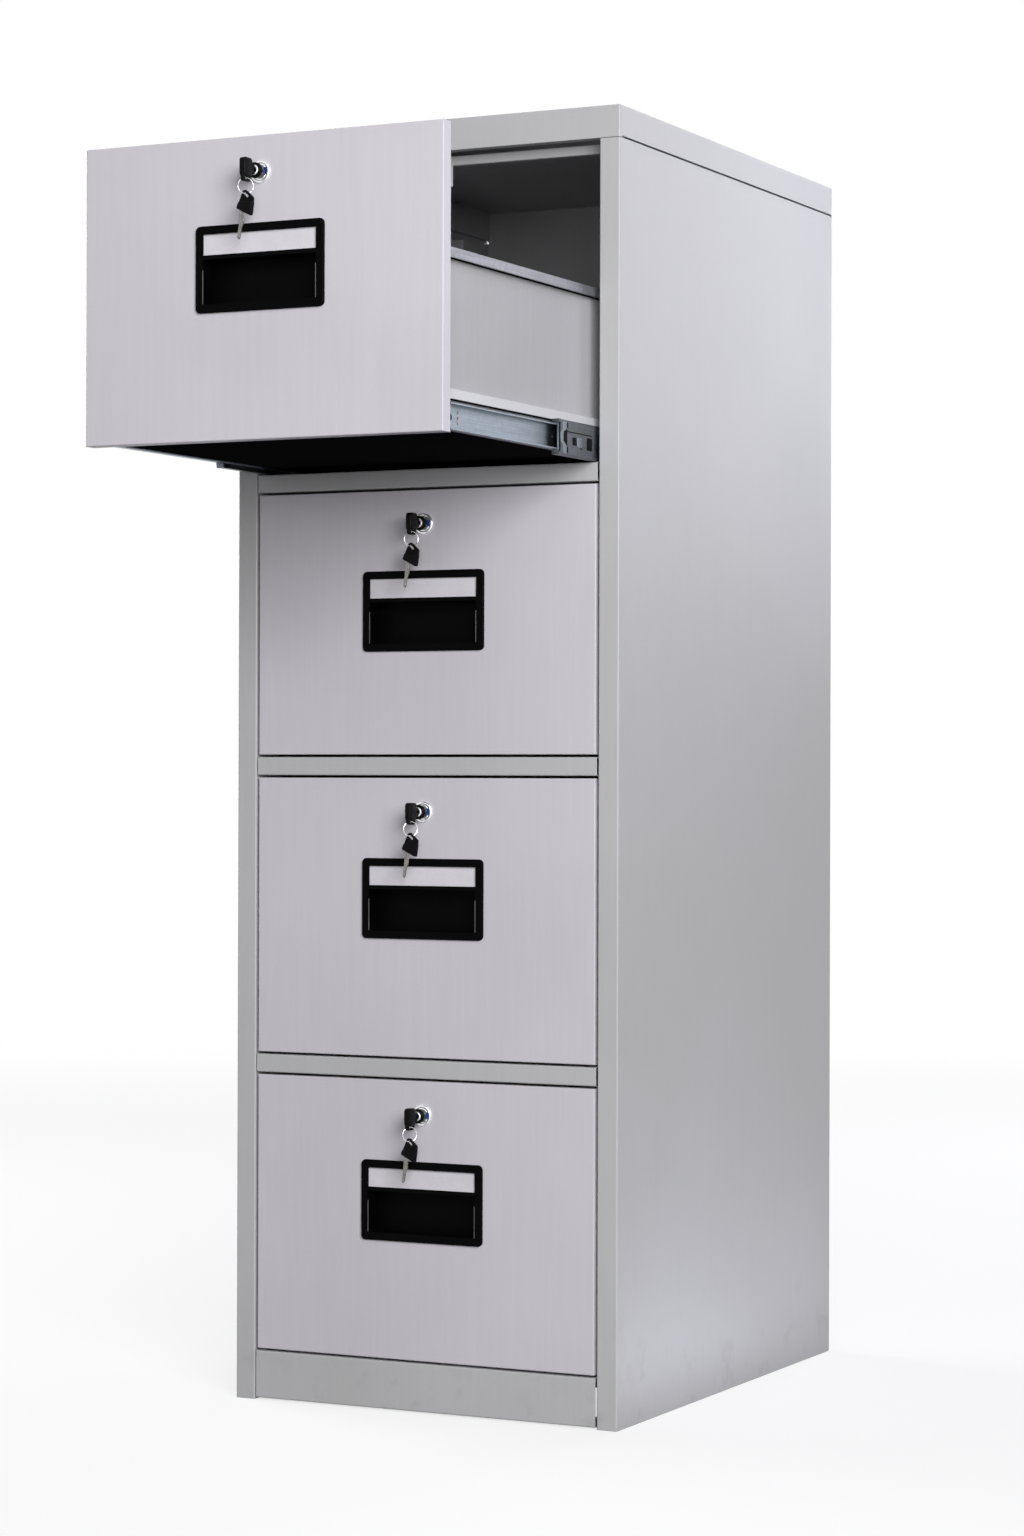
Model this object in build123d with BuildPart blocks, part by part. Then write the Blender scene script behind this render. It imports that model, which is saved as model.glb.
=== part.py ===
from build123d import *
import math
import os

# Vertical filing cabinet in folded sheet steel, with four drawers on three-part ball slides.
# Millimetres. X runs to the right, Y from the front to the back, Z up.
# The origin is the middle of the footprint, on the floor. The top drawer stands open.

# Cabinet body
width = 442.0
depth = 580.0
sheet = 0.9
bend_radius = 1.5
stile_width = 22.5
stile_return = 27.5
stile_lip = 10.0
rear_flange = 15.0
base_top = 51.4
base_lift = 1.8
base_lip = 14.0
rail_height = 19.0
rail_lip = 6.0
rail_end_gap = 1.5
rail_tab = 8.5
rail_hem = 10.0
top_space = 35.0
cap_height = 32.6
cap_seam = 0.4
cap_reveal = 1.4
cap_reveal_start = 6.0
cap_corner = 7.0
cap_return = 12.0
foot_corner = 5.0
upstand_inset = 6.0
top_strip_height = 10.0
top_rail_depth = 30.0
keeper_width = 36.0
bottom_panel_top = 40.0
bottom_flange = 15.0
floor_flange = 15.0
back_panel_rise = 12.0
brace_width = 60.0
brace_height = 18.0

# Drawer fronts, from the top one down
panel_heights = [288.0, 272.5, 288.0, 288.0]
panel_gap = 2.5
panel_side_gap = 3.0
panel_depth = 14.5
panel_sheet = 0.8
panel_lip = 12.0
panel_edge = 1.0

# Drawer trays
tray_sheet = 0.8
tray_recess = 5.3
tray_bead = 6.8
tray_bead_height = 10.0
tray_bead_start = 5.0
tray_bead_over_slide = 4.5
tray_floor_rise = 4.0
tray_height = 171.0
tray_front_height = 106.0
tray_front_flange = 11.0
tray_hem = 10.0
tray_rear_room = 45.0

# Ball slides: outer member on the posts, middle member, inner member on the tray
slide_rise = 16.0
slide_thickness = 12.7
slide_front_set = 32.0
slide_rear_room = 48.0
outer_height = 45.0
outer_depth = 10.5
outer_lip = 3.7
outer_sheet = 1.0
middle_height = 35.0
middle_set = 2.6
middle_depth = 8.0
middle_sheet = 1.0
inner_height = 25.0
inner_depth = 7.7
inner_sheet = 1.2
inner_front_set = 20.0
inner_hole = 3.5
inner_hole_set = 10.5
ball_clearance = 0.3
cage_length = 190.0
cage_end_room = 10.0
bumper_length = 5.0
boss_radius = 8.0
boss_inset = 60.0
post_width = 40.0
post_sheet = 1.2
post_top_room = 3.0
front_post_set = 1.5
rear_post_room = 60.0
screw_radius = 1.95
screw_clearance = 0.1
screw_head_radius = 3.8
screw_head_height = 1.2
screw_length = 5.0

# Handle with label holder and finger pocket
handle_width = 140.0
handle_height = 83.0
handle_drop = 83.0
handle_plate = 3.0
handle_corner = 5.0
handle_edge = 1.0
handle_border = 8.0
window_height = 20.0
window_bar = 4.0
pocket_depth = 22.0
pocket_wall = 2.0
pocket_fit = 0.4
pocket_corner = 2.0
card_overlap = 2.0
card_thickness = 0.5
card_fit = 0.3

# Cam lock, turned by a key that stands in it
lock_drop = 35.0
rosette_radius = 11.0
rosette_height = 2.2
rosette_chamfer = 0.7
lock_body_radius = 9.2
lock_hole_fit = 0.2
lock_body_length = 27.0
lock_nut_radius = 12.5
lock_nut_height = 4.0
plug_radius = 6.5
plug_fit = 0.05
plug_step = 0.4
keeper_clearance = 2.0
cam_thickness = 2.0
cam_half_width = 6.0
cam_catch = 7.0
cam_screw_radius = 4.0
cam_screw_height = 2.0
keyway_fit = 0.2

# Keys and the wire ring that carries the spare one
blade_height = 7.5
blade_thickness = 2.0
blade_depth = 22.0
collar_radius = 6.2
collar_height = 3.4
collar_gap = 0.3
neck_length = 10.6
neck_height = 13.0
neck_thickness = 4.6
grip_length = 22.5
grip_top = 10.2
grip_bottom = 3.5
grip_thickness = 6.4
grip_corner = 2.5
lug_thickness = 2.2
lug_length = 17.0
lug_corner = 2.0
lug_wall = 1.8
lug_hole_radius = 3.6
lug_hang_clearance = 0.9
ring_radius = 7.5
wire_radius = 0.6
ring_drop = 9.7
ring_turn = 45.0
spare_outline = [(-2.4, 5.2), (9.5, -2.4), (6.3, -16.7), (-7.4, -10.1)]
spare_thickness = 2.2
spare_grip_thickness = 4.4
spare_grip_drop = 5.8
spare_corner = 2.2
spare_hole_radius = 3.4
spare_hang_clearance = 0.6
spare_blade_width = 4.4
spare_blade_thickness = 1.8
spare_blade_length = 25.4
spare_blade_lean = 5.6
spare_blade_root = (-3.1, -11.0)

# Where the moving pieces stand
top_drawer_out = 333.0
top_middle_out = 114.0

# Planes and levels that follow from the sizes above
front = -depth / 2
rear = depth / 2
half_width = width / 2
opening_half = half_width - stile_width
panel_half = opening_half - panel_side_gap
wall_inside = half_width - sheet
rail_back = front + stile_return
keeper_back = rail_back + sheet
panel_back = front + panel_depth
slide_front = front + slide_front_set
slide_length = depth - slide_front_set - slide_rear_room
inner_front = front + inner_front_set
tray_slide_face = opening_half - slide_thickness
tray_wall = tray_slide_face - tray_recess
tray_rear = rear - tray_rear_room
front_post = keeper_back + front_post_set - sheet
rear_post = slide_front + slide_length - rear_post_room

panel_bottoms = [0.0, 0.0, 0.0, 0.0]
rail_bottoms = []
level = base_top
for index in (3, 2, 1, 0):
    panel_bottoms[index] = level + panel_gap
    level = panel_bottoms[index] + panel_heights[index] + panel_gap
    if index:
        rail_bottoms.insert(0, level)
        level += rail_height
cap_low = level - panel_gap + top_space
height = cap_low + cap_height
strip_top = cap_low - sheet
strip_bottom = strip_top - top_strip_height
keeper_bottom = level
slide_levels = [bottom + slide_rise for bottom in panel_bottoms]
drawers_out = [top_drawer_out, 0.0, 0.0, 0.0]
middles_out = [top_middle_out, 0.0, 0.0, 0.0]


def folded(points, thickness, side=Side.LEFT):
    """Section of a sheet that is bent along the points, which follow its outer face."""
    with BuildSketch() as section:
        with BuildLine():
            FilletPolyline(*points, radius=bend_radius)
            offset(amount=thickness, side=side)
        make_face()
    return section.sketch


def across(y):
    """Plane square to the depth at y: its first axis is X and its second is Z."""
    return Plane.XZ.offset(-y)


def block(low, high):
    """Plain box between two corners, for use inside a part."""
    size = [b - a for a, b in zip(low, high)]
    with Locations(tuple(low)):
        Box(*size, align=(Align.MIN, Align.MIN, Align.MIN))


def group(label, pieces):
    """Several separate solids that make up one named piece."""
    return Compound(label=label, children=pieces)


def make_side_panel():
    """Right wall with the front stile, its return and lip, and the flanges at its other edges."""
    top = cap_low - cap_seam
    with BuildPart() as panel:
        with BuildSketch():
            add(folded([
                (opening_half + stile_lip, rail_back),
                (opening_half, rail_back),
                (opening_half, front),
                (half_width, front),
                (half_width, rear),
                (half_width - rear_flange, rear),
            ], sheet))
        extrude(amount=top)
        # The corners at the back are rounded in the wall and in the flange behind it
        corners = ((cap_corner, top, -1), (foot_corner, 0.0, 1))
        for radius, edge, inward in corners:
            middle = (rear - radius, edge + inward * radius)
            with BuildSketch(Plane.YZ.offset(half_width - rear_flange - sheet)):
                with Locations((rear, edge)):
                    Rectangle(2 * radius, 2 * radius)
                with Locations(middle):
                    Circle(radius, mode=Mode.SUBTRACT)
            extrude(amount=rear_flange + 2 * sheet, mode=Mode.SUBTRACT)
        shelf = wall_inside - upstand_inset
        run = (front_post, rear - cap_corner - 2 * sheet)
        block((shelf, run[0], top - sheet), (wall_inside, run[1], top))
        block((shelf, run[0], top - sheet), (shelf + sheet, run[1], height - sheet))
        block((wall_inside - floor_flange, front_post, 0), (wall_inside, rear - foot_corner, sheet))
    return panel.part


def make_back_panel():
    """Flat sheet that lies against the inside of the rear flanges and of the cap's rear skirt."""
    with BuildPart() as panel:
        edge = wall_inside - bend_radius
        block((-edge, rear - 2 * sheet, base_lift), (edge, rear - sheet, cap_low + back_panel_rise))
    return panel.part


def make_top_cap():
    """Shallow tray turned upside down, with a shadow gap along its side skirts."""
    skirt_end = cap_low - cap_corner
    reveal = cap_low + cap_reveal
    turn = cap_corner + cap_reveal + cap_seam
    with BuildPart() as cap:
        block((-half_width, front, skirt_end), (half_width, rear, height))
        outer = cap.edges().filter_by(Axis.Z) + cap.faces().sort_by(Axis.Z)[-1].edges()
        fillet(outer, bend_radius)
        offset(amount=-sheet, openings=cap.faces().sort_by(Axis.Z)[0])
        with BuildSketch(Plane.YZ):
            with BuildLine():
                start = (rear - cap_corner, reveal)
                middle = (rear - cap_corner, reveal - turn)
                CenterArc(middle, turn, 0, 90)
                Polyline((rear - cap_corner + turn, reveal - turn),
                         (rear + turn, reveal - turn),
                         (rear + turn, skirt_end - turn),
                         (front - turn, skirt_end - turn),
                         (front - turn, cap_low),
                         (front + cap_reveal_start, cap_low),
                         (front + cap_reveal_start, reveal),
                         start)
            make_face()
        extrude(amount=width, both=True, mode=Mode.SUBTRACT)
        block((-half_width + sheet, front + sheet / 2, cap_low),
              (half_width - sheet, front + cap_return, cap_low + sheet))
    return cap.part


def make_top_rail():
    """Recessed rail under the cap: front strip, shelf, upstand, and the top drawer's lock keeper."""
    half = opening_half + rail_tab
    with BuildPart() as rail:
        with BuildSketch(Plane.YZ):
            add(folded([
                (rail_back + rail_hem, strip_bottom),
                (rail_back, strip_bottom),
                (rail_back, strip_top),
                (rail_back + top_rail_depth, strip_top),
                (rail_back + top_rail_depth, height - sheet),
            ], sheet, Side.RIGHT))
        extrude(amount=half, both=True)
        block((-keeper_width / 2, rail_back, keeper_bottom),
              (keeper_width / 2, keeper_back, strip_bottom + bend_radius))
    return rail.part


def make_rail(bottom, top, lift_lip):
    """Cross rail folded to a channel, with tabs that lie behind the stile lips."""
    with BuildPart() as rail:
        with BuildSketch(Plane.YZ):
            add(folded([
                (keeper_back, bottom + rail_lip),
                (keeper_back, bottom),
                (front, bottom),
                (front, top),
                (keeper_back, top),
                (keeper_back, top - lift_lip),
            ], sheet, Side.RIGHT))
        extrude(amount=opening_half - rail_end_gap, both=True)
        tab = opening_half + rail_tab
        block((-tab, rail_back, top - lift_lip), (tab, keeper_back, top - bend_radius))
        block((-tab, rail_back, bottom + bend_radius), (tab, keeper_back, bottom + rail_lip))
    return rail.part


def make_bottom_panel():
    """Floor of the cabinet, turned down at the walls and at the back."""
    top = bottom_panel_top
    under = top - sheet
    back_face = rear - 2 * sheet
    with BuildPart() as panel:
        block((-wall_inside, keeper_back, under), (wall_inside, back_face, top))
        block((-wall_inside, front_post, under - bottom_flange),
              (-wall_inside + sheet, back_face, under))
        block((wall_inside - sheet, front_post, under - bottom_flange),
              (wall_inside, back_face, under))
        block((-wall_inside, back_face - sheet, under - bottom_flange),
              (wall_inside, back_face, under))
    return panel.part


def make_floor_brace():
    """Channel across the middle of the base, with ends that step up onto the floor flanges."""
    half = brace_width / 2
    flange_edge = wall_inside - floor_flange
    with BuildPart() as brace:
        with BuildSketch(Plane.YZ):
            add(folded([(half, brace_height), (half, 0), (-half, 0), (-half, brace_height)],
                       sheet, Side.RIGHT))
        extrude(amount=wall_inside, both=True)
        # Over the walls' floor flanges the web is cut away and steps up by one sheet
        for start, end in ((-wall_inside, -flange_edge), (flange_edge, wall_inside)):
            with Locations((start, -half, 0)):
                Box(floor_flange, brace_width, sheet, align=(Align.MIN, Align.MIN, Align.MIN),
                    mode=Mode.SUBTRACT)
            step = [start - sheet * (start > 0), end + sheet * (end < 0)]
            block((step[0], -half + sheet / 2, sheet), (step[1], half - sheet / 2, 2 * sheet))
    return brace.part


def make_post(y):
    """Upright channel on the right wall that carries the outer slide members."""
    low = bottom_panel_top
    high = strip_bottom - post_top_room
    with BuildPart() as post:
        with BuildSketch(Plane.XY.offset(low)):
            add(folded([
                (wall_inside, y + post_width),
                (opening_half, y + post_width),
                (opening_half, y),
                (wall_inside, y),
            ], post_sheet))
        extrude(amount=high - low)
        for slide_level in slide_levels:
            with BuildSketch(Plane.YZ.offset(opening_half - post_sheet)):
                with Locations((y + post_width / 2, slide_level)):
                    Circle(screw_radius + screw_clearance)
            extrude(amount=3 * post_sheet, mode=Mode.SUBTRACT)
    return post.part


def slide_section(reach, half_height, face, lip=0.0):
    """Corners of a channel that opens towards the drawer, seen from the front, right side."""
    points = [(face - reach, -half_height), (face, -half_height),
              (face, half_height), (face - reach, half_height)]
    if lip:
        points.insert(0, (face - reach, lip - half_height))
        points.append((face - reach, half_height - lip))
    return points


def make_outer_slide(slide_level):
    """Outer slide member, screwed to the two posts."""
    points = slide_section(outer_depth, outer_height / 2, opening_half, outer_lip)
    with BuildPart() as member:
        with BuildSketch(across(slide_front + slide_length)):
            with Locations((0, slide_level)):
                add(folded(points, outer_sheet))
        extrude(amount=slide_length)
        for y in (front_post, rear_post):
            with BuildSketch(Plane.YZ.offset(opening_half - 2 * outer_sheet)):
                with Locations((y + post_width / 2, slide_level)):
                    Circle(screw_radius + screw_clearance)
            extrude(amount=3 * outer_sheet, mode=Mode.SUBTRACT)
    return member.part


def make_slide_screw(y, slide_level):
    """Pan head screw through an outer slide member into its post."""
    seat = opening_half - outer_sheet
    with BuildPart() as screw:
        with BuildSketch(Plane.YZ.offset(seat - screw_head_height)):
            with Locations((y + post_width / 2, slide_level)):
                Circle(screw_head_radius)
        extrude(amount=screw_head_height)
        with BuildSketch(Plane.YZ.offset(seat)):
            with Locations((y + post_width / 2, slide_level)):
                Circle(screw_radius)
        extrude(amount=screw_length)
    return screw.part


def make_bar(x, z, y):
    """Plain bar along the depth, between two values on each axis."""
    with BuildPart() as bar:
        block((x[0], y[0], z[0]), (x[1], y[1], z[1]))
    return bar.part


def make_middle_slide(slide_level, out):
    """Right middle slide member: channel, four ball cages and the bumper at its front end."""
    face = opening_half - middle_set
    reach = face - middle_depth
    end = slide_front + slide_length - out
    start = slide_front - out
    half_outer = outer_height / 2 - outer_sheet
    half_middle = middle_height / 2
    half_inner = inner_height / 2
    with BuildPart() as channel:
        with BuildSketch(across(end)):
            with Locations((0, slide_level)):
                add(folded(slide_section(middle_depth, half_middle, face), middle_sheet))
        extrude(amount=slide_length)
    pieces = [channel.part]
    outer_run = (end - cage_end_room - cage_length, end - cage_end_room)
    inner_run = (start + cage_end_room, start + cage_end_room + cage_length)
    cage_face = opening_half - outer_depth + outer_sheet + ball_clearance
    for sign in (-1, 1):
        outer_band = sorted([slide_level + sign * half_middle,
                             slide_level + sign * (half_outer - ball_clearance)])
        inner_band = sorted([slide_level + sign * (half_inner + ball_clearance),
                             slide_level + sign * (half_middle - middle_sheet)])
        pieces.append(make_bar((cage_face, face - bend_radius), outer_band, outer_run))
        pieces.append(make_bar((reach + ball_clearance, face - 2 * middle_sheet), inner_band, inner_run))
    # The bumper closes the channel's end and leaves the inner member's path open
    path_face = tray_slide_face + inner_depth + ball_clearance
    with BuildPart() as bumper:
        block((reach, start - bumper_length, slide_level - half_middle),
              (face, start, slide_level + half_middle))
        with BuildSketch(across(start)):
            with Locations(((reach + path_face) / 2, slide_level)):
                Rectangle(path_face - reach, inner_height + 2 * ball_clearance)
        extrude(amount=bumper_length, mode=Mode.SUBTRACT)
    pieces.append(bumper.part)
    return pieces


def make_inner_slide(slide_level, out):
    """Right inner slide member, fixed to the bosses on the tray's wall."""
    face = tray_slide_face
    half = inner_height / 2
    end = inner_front + slide_length - out
    with BuildPart() as member:
        with BuildSketch(across(end)):
            with Locations((0, slide_level)):
                add(folded([(face + inner_depth, half), (face, half),
                            (face, -half), (face + inner_depth, -half)], inner_sheet))
        extrude(amount=slide_length)
        with BuildSketch(Plane.YZ.offset(face - inner_sheet)):
            with Locations((end - slide_length + inner_hole_set, slide_level)):
                Circle(inner_hole)
        extrude(amount=3 * inner_sheet, mode=Mode.SUBTRACT)
    return member.part


def make_drawer_front(bottom, tall, out):
    """Drawer front: a shallow pan, open at the back, with cut-outs for lock and handle."""
    face = front - out
    back = panel_back - out
    top = bottom + tall
    with BuildPart() as pan:
        block((-panel_half, face, bottom), (panel_half, back, top))
        fillet(pan.faces().sort_by(Axis.Y)[0].edges(), panel_edge)
        with BuildSketch(across(back - panel_sheet)):
            with Locations((0, bottom + tall / 2)):
                Rectangle(2 * (panel_half - panel_sheet), tall - 2 * panel_sheet)
        extrude(amount=panel_depth - 2 * panel_sheet, mode=Mode.SUBTRACT)
        with BuildSketch(across(back)):
            with Locations((0, bottom + tall / 2)):
                Rectangle(2 * (panel_half - panel_lip), tall - 2 * panel_lip)
        extrude(amount=2 * panel_sheet, mode=Mode.SUBTRACT)
        with BuildSketch(across(back)):
            with Locations((0, top - lock_drop)):
                Circle(lock_body_radius + lock_hole_fit)
            with Locations((0, pocket_level(top))):
                Rectangle(pocket_outer_width() + 2 * pocket_fit, pocket_outer_height() + 2 * pocket_fit)
        extrude(amount=panel_depth, mode=Mode.SUBTRACT)
    return pan.part


def window_width():
    """Width of the label window and of the finger pocket."""
    return handle_width - 2 * handle_border


def pocket_height():
    """Height of the finger pocket, from the bar under the window to the bottom border."""
    return handle_height - 2 * handle_border - window_height - window_bar


def pocket_outer_width():
    """Width of the pocket over its walls."""
    return window_width() + 2 * pocket_wall


def pocket_outer_height():
    """Height of the pocket over its walls."""
    return pocket_height() + 2 * pocket_wall


def pocket_level(top):
    """Height of the pocket's middle, for a drawer front that ends at top."""
    return top - handle_drop - handle_height + handle_border + pocket_height() / 2


def window_level(top):
    """Height of the label window's middle."""
    return top - handle_drop - handle_border - window_height / 2


def make_handle(bottom, tall, out):
    """Moulded handle: a plate with the label window above the finger pocket."""
    face = front - out
    top = bottom + tall
    middle = top - handle_drop - handle_height / 2
    with BuildPart() as handle:
        with BuildSketch(across(face)):
            with Locations((0, middle)):
                RectangleRounded(handle_width, handle_height, handle_corner)
        extrude(amount=handle_plate)
        fillet(handle.faces().sort_by(Axis.Y)[0].edges(), handle_edge)
        with BuildSketch(across(face + pocket_depth)):
            with Locations((0, pocket_level(top))):
                Rectangle(pocket_outer_width(), pocket_outer_height())
        extrude(amount=pocket_depth)
        with BuildSketch(across(face + pocket_depth - pocket_wall)):
            with Locations((0, pocket_level(top))):
                RectangleRounded(window_width(), pocket_height(), pocket_corner)
        extrude(amount=pocket_depth + handle_plate, mode=Mode.SUBTRACT)
        with BuildSketch(across(face)):
            with Locations((0, window_level(top))):
                Rectangle(window_width(), window_height)
        extrude(amount=handle_plate, mode=Mode.SUBTRACT)
        with BuildSketch(across(face)):
            with Locations((0, window_level(top))):
                Rectangle(window_width() + 2 * (card_overlap + card_fit),
                          window_height + 2 * (window_bar / 2 - card_fit))
        extrude(amount=card_thickness + card_fit, mode=Mode.SUBTRACT)
    return handle.part


def make_label(bottom, tall, out):
    """Bare card that lies on the drawer front, behind the handle's window."""
    with BuildPart() as card:
        with BuildSketch(across(front - out)):
            with Locations((0, window_level(bottom + tall))):
                Rectangle(window_width() + 2 * card_overlap, window_height + window_bar - 4 * card_fit)
        extrude(amount=card_thickness)
    return card.part


def make_tray(bottom, slide_level, out):
    """Drawer tray folded from one sheet, with stiffening beads, a front wall and a back wall."""
    floor = bottom + tray_floor_rise
    low_bead = slide_level + inner_height / 2 + tray_bead_over_slide
    rim = floor + tray_height
    high_bead = rim - tray_bead_height
    bead = tray_wall + tray_bead
    right = [
        (tray_wall, floor),
        (tray_wall, low_bead),
        (bead, low_bead),
        (bead, low_bead + tray_bead_height),
        (tray_wall, low_bead + tray_bead_height),
        (tray_wall, high_bead),
        (bead, high_bead),
        (bead, rim),
        (bead - tray_hem, rim),
    ]
    left = [(-x, z) for x, z in reversed(right)]
    back = tray_rear - out
    start = panel_back - out
    bead_start = start + tray_bead_start
    with BuildPart() as tray:
        with BuildSketch(across(back)):
            add(folded(left + right, tray_sheet))
        extrude(amount=back - bead_start)
        with BuildSketch(across(bead_start)):
            add(folded([(-tray_wall, high_bead), (-tray_wall, floor),
                        (tray_wall, floor), (tray_wall, high_bead)], tray_sheet))
        extrude(amount=tray_bead_start)
        inside = tray_wall - tray_sheet / 2
        block((-inside, start, floor + tray_sheet / 2),
              (inside, start + tray_sheet, floor + tray_front_height))
        block((-inside, back - tray_sheet, floor + tray_sheet / 2), (inside, back, rim))
        for sign in (-1, 1):
            flange = sorted([sign * inside, sign * (tray_wall + tray_front_flange)])
            block((flange[0], start, floor + bend_radius),
                  (flange[1], start + tray_sheet, high_bead))
            for y in boss_places(out):
                with BuildSketch(Plane.YZ.offset(sign * (tray_wall - tray_sheet / 2))):
                    with Locations((y, slide_level)):
                        Circle(boss_radius)
                extrude(amount=sign * (tray_recess + tray_sheet / 2))
    return tray.part


def boss_places(out):
    """Depths of the bosses that carry an inner slide member."""
    first = inner_front + boss_inset - out
    last = inner_front + slide_length - boss_inset - out
    return [first, (first + last) / 2, last]


def make_lock_case(level_z, out):
    """Lock body with its rosette, and the nut that clamps it to the drawer front."""
    face = front - out
    with BuildPart() as case:
        with BuildSketch(across(face)):
            with Locations((0, level_z)):
                Circle(rosette_radius)
        extrude(amount=rosette_height)
        chamfer(case.faces().sort_by(Axis.Y)[0].edges(), rosette_chamfer)
        with BuildSketch(across(face + lock_body_length)):
            with Locations((0, level_z)):
                Circle(lock_body_radius)
        extrude(amount=lock_body_length)
        with BuildSketch(across(face + lock_body_length)):
            with Locations((0, level_z)):
                Circle(plug_radius + plug_fit)
        extrude(amount=lock_body_length + rosette_height, mode=Mode.SUBTRACT)
    with BuildPart() as nut:
        with BuildSketch(across(face + panel_sheet + lock_nut_height)):
            with Locations((0, level_z)):
                RegularPolygon(lock_nut_radius, 6)
                Circle(lock_body_radius + plug_fit, mode=Mode.SUBTRACT)
        extrude(amount=lock_nut_height)
    return [case.part, nut.part]


def make_lock_plug(level_z, out):
    """Turning plug with the keyway, its cam and the cam's screw."""
    face = key_face(out)
    cam_front = keeper_back + keeper_clearance - out
    with BuildPart() as plug:
        with BuildSketch(across(cam_front)):
            with Locations((0, level_z)):
                Circle(plug_radius)
        extrude(amount=cam_front - face)
        with BuildSketch(across(face + blade_depth + keyway_fit)):
            with Locations((0, level_z)):
                Rectangle(blade_thickness + 2 * keyway_fit, blade_height + 2 * keyway_fit)
        extrude(amount=blade_depth + keyway_fit, mode=Mode.SUBTRACT)
    reach = lock_drop + panel_gap + cam_catch
    cam_back = cam_front + cam_thickness
    with BuildPart() as cam:
        with BuildSketch(across(cam_back)):
            with Locations((-(reach - cam_half_width) / 2, level_z)):
                SlotCenterToCenter(reach - cam_half_width, 2 * cam_half_width)
        extrude(amount=cam_thickness)
    with BuildPart() as screw:
        with BuildSketch(across(cam_back + cam_screw_height)):
            with Locations((0, level_z)):
                Circle(cam_screw_radius)
        extrude(amount=cam_screw_height)
    return [plug.part, cam.part, screw.part]


def key_face(out):
    """Depth of the plug's front face."""
    return front - out - rosette_height + plug_step


def ring_depth(out):
    """Depth at which the ring hangs: the middle of the key's grip."""
    return key_face(out) - collar_gap - collar_height - neck_length - grip_length / 2


def make_key(level_z, out):
    """Key in the lock: blade, collar, neck, grip, and the thin lug that the ring passes through."""
    face = key_face(out)
    collar_back = face - collar_gap
    neck_back = collar_back - collar_height
    grip_back = neck_back - neck_length
    grip_front = grip_back - grip_length
    hole_level = level_z - ring_drop - wire_radius - lug_hang_clearance + lug_hole_radius
    lug_bottom = hole_level - lug_hole_radius - lug_wall
    lug_top = level_z
    with BuildPart() as key:
        with BuildSketch(across(face + blade_depth)):
            with Locations((0, level_z)):
                Rectangle(blade_thickness, blade_height)
        extrude(amount=blade_depth + collar_gap)
        with BuildSketch(across(collar_back)):
            with Locations((0, level_z)):
                Circle(collar_radius)
        extrude(amount=collar_height)
        block((-neck_thickness / 2, grip_back, level_z - neck_height / 2),
              (neck_thickness / 2, neck_back, level_z + neck_height / 2))
        with BuildSketch(Plane.YZ):
            grip_height = grip_top + grip_bottom
            with Locations(((grip_front + grip_back) / 2, level_z + (grip_top - grip_bottom) / 2)):
                RectangleRounded(grip_length, grip_height, grip_corner)
        extrude(amount=grip_thickness / 2, both=True)
        with BuildSketch(Plane.YZ):
            with Locations((ring_depth(out), (lug_top + lug_bottom) / 2)):
                RectangleRounded(lug_length, lug_top - lug_bottom, lug_corner)
        extrude(amount=lug_thickness / 2, both=True)
        with BuildSketch(Plane.YZ):
            with Locations((ring_depth(out), hole_level)):
                Circle(lug_hole_radius)
        extrude(amount=lug_thickness, both=True, mode=Mode.SUBTRACT)
    return key.part


def make_ring(level_z, out):
    """Wire ring that hangs in the key's lug, turned so that it also passes through the spare key."""
    middle = (0, ring_depth(out), level_z - ring_drop - ring_radius)
    turn = math.radians(ring_turn)
    along = Vector(math.cos(turn), math.sin(turn), 0)
    upwards = Vector(0, 0, 1)
    with BuildPart() as ring:
        with BuildSketch(Plane(origin=middle, x_dir=along, z_dir=upwards)):
            with Locations((ring_radius, 0)):
                Circle(wire_radius)
        revolve(axis=Axis(middle, along.cross(upwards)), revolution_arc=360)
    return ring.part


def make_spare_key(level_z, out):
    """Spare key: skewed grip with the hole for the ring, and a blade that leans a little."""
    pivot = (0, ring_depth(out), level_z - ring_drop - 2 * ring_radius)
    hanging = Plane(origin=pivot, x_dir=(1, 0, 0), z_dir=(0, -1, 0))
    hole = (0, wire_radius + spare_hang_clearance - spare_hole_radius)
    lean = math.radians(spare_blade_lean)
    blade_middle = (spare_blade_root[0] - math.sin(lean) * spare_blade_length / 2,
                    spare_blade_root[1] - math.cos(lean) * spare_blade_length / 2)
    with BuildPart() as spare:
        for thickness, cut in ((spare_thickness, 0.0), (spare_grip_thickness, spare_grip_drop)):
            with BuildSketch(hanging) as outline:
                with BuildLine():
                    Polyline(*spare_outline, close=True)
                make_face()
                fillet(outline.vertices(), spare_corner)
                if cut:
                    with Locations((0, -cut)):
                        Rectangle(grip_length * 2, grip_length, align=(Align.CENTER, Align.MIN),
                                  mode=Mode.SUBTRACT)
            extrude(amount=thickness / 2, both=True)
        with BuildSketch(hanging):
            with Locations(Location(blade_middle, -spare_blade_lean)):
                Rectangle(spare_blade_width, spare_blade_length)
        extrude(amount=spare_blade_thickness / 2, both=True)
        with BuildSketch(hanging):
            with Locations(hole):
                Circle(spare_hole_radius)
        extrude(amount=spare_grip_thickness, both=True, mode=Mode.SUBTRACT)
    return spare.part


def both_sides(pieces):
    """The pieces of the right side, followed by their mirror images on the left."""
    return pieces + [mirror(piece, about=Plane.YZ) for piece in pieces]


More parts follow.
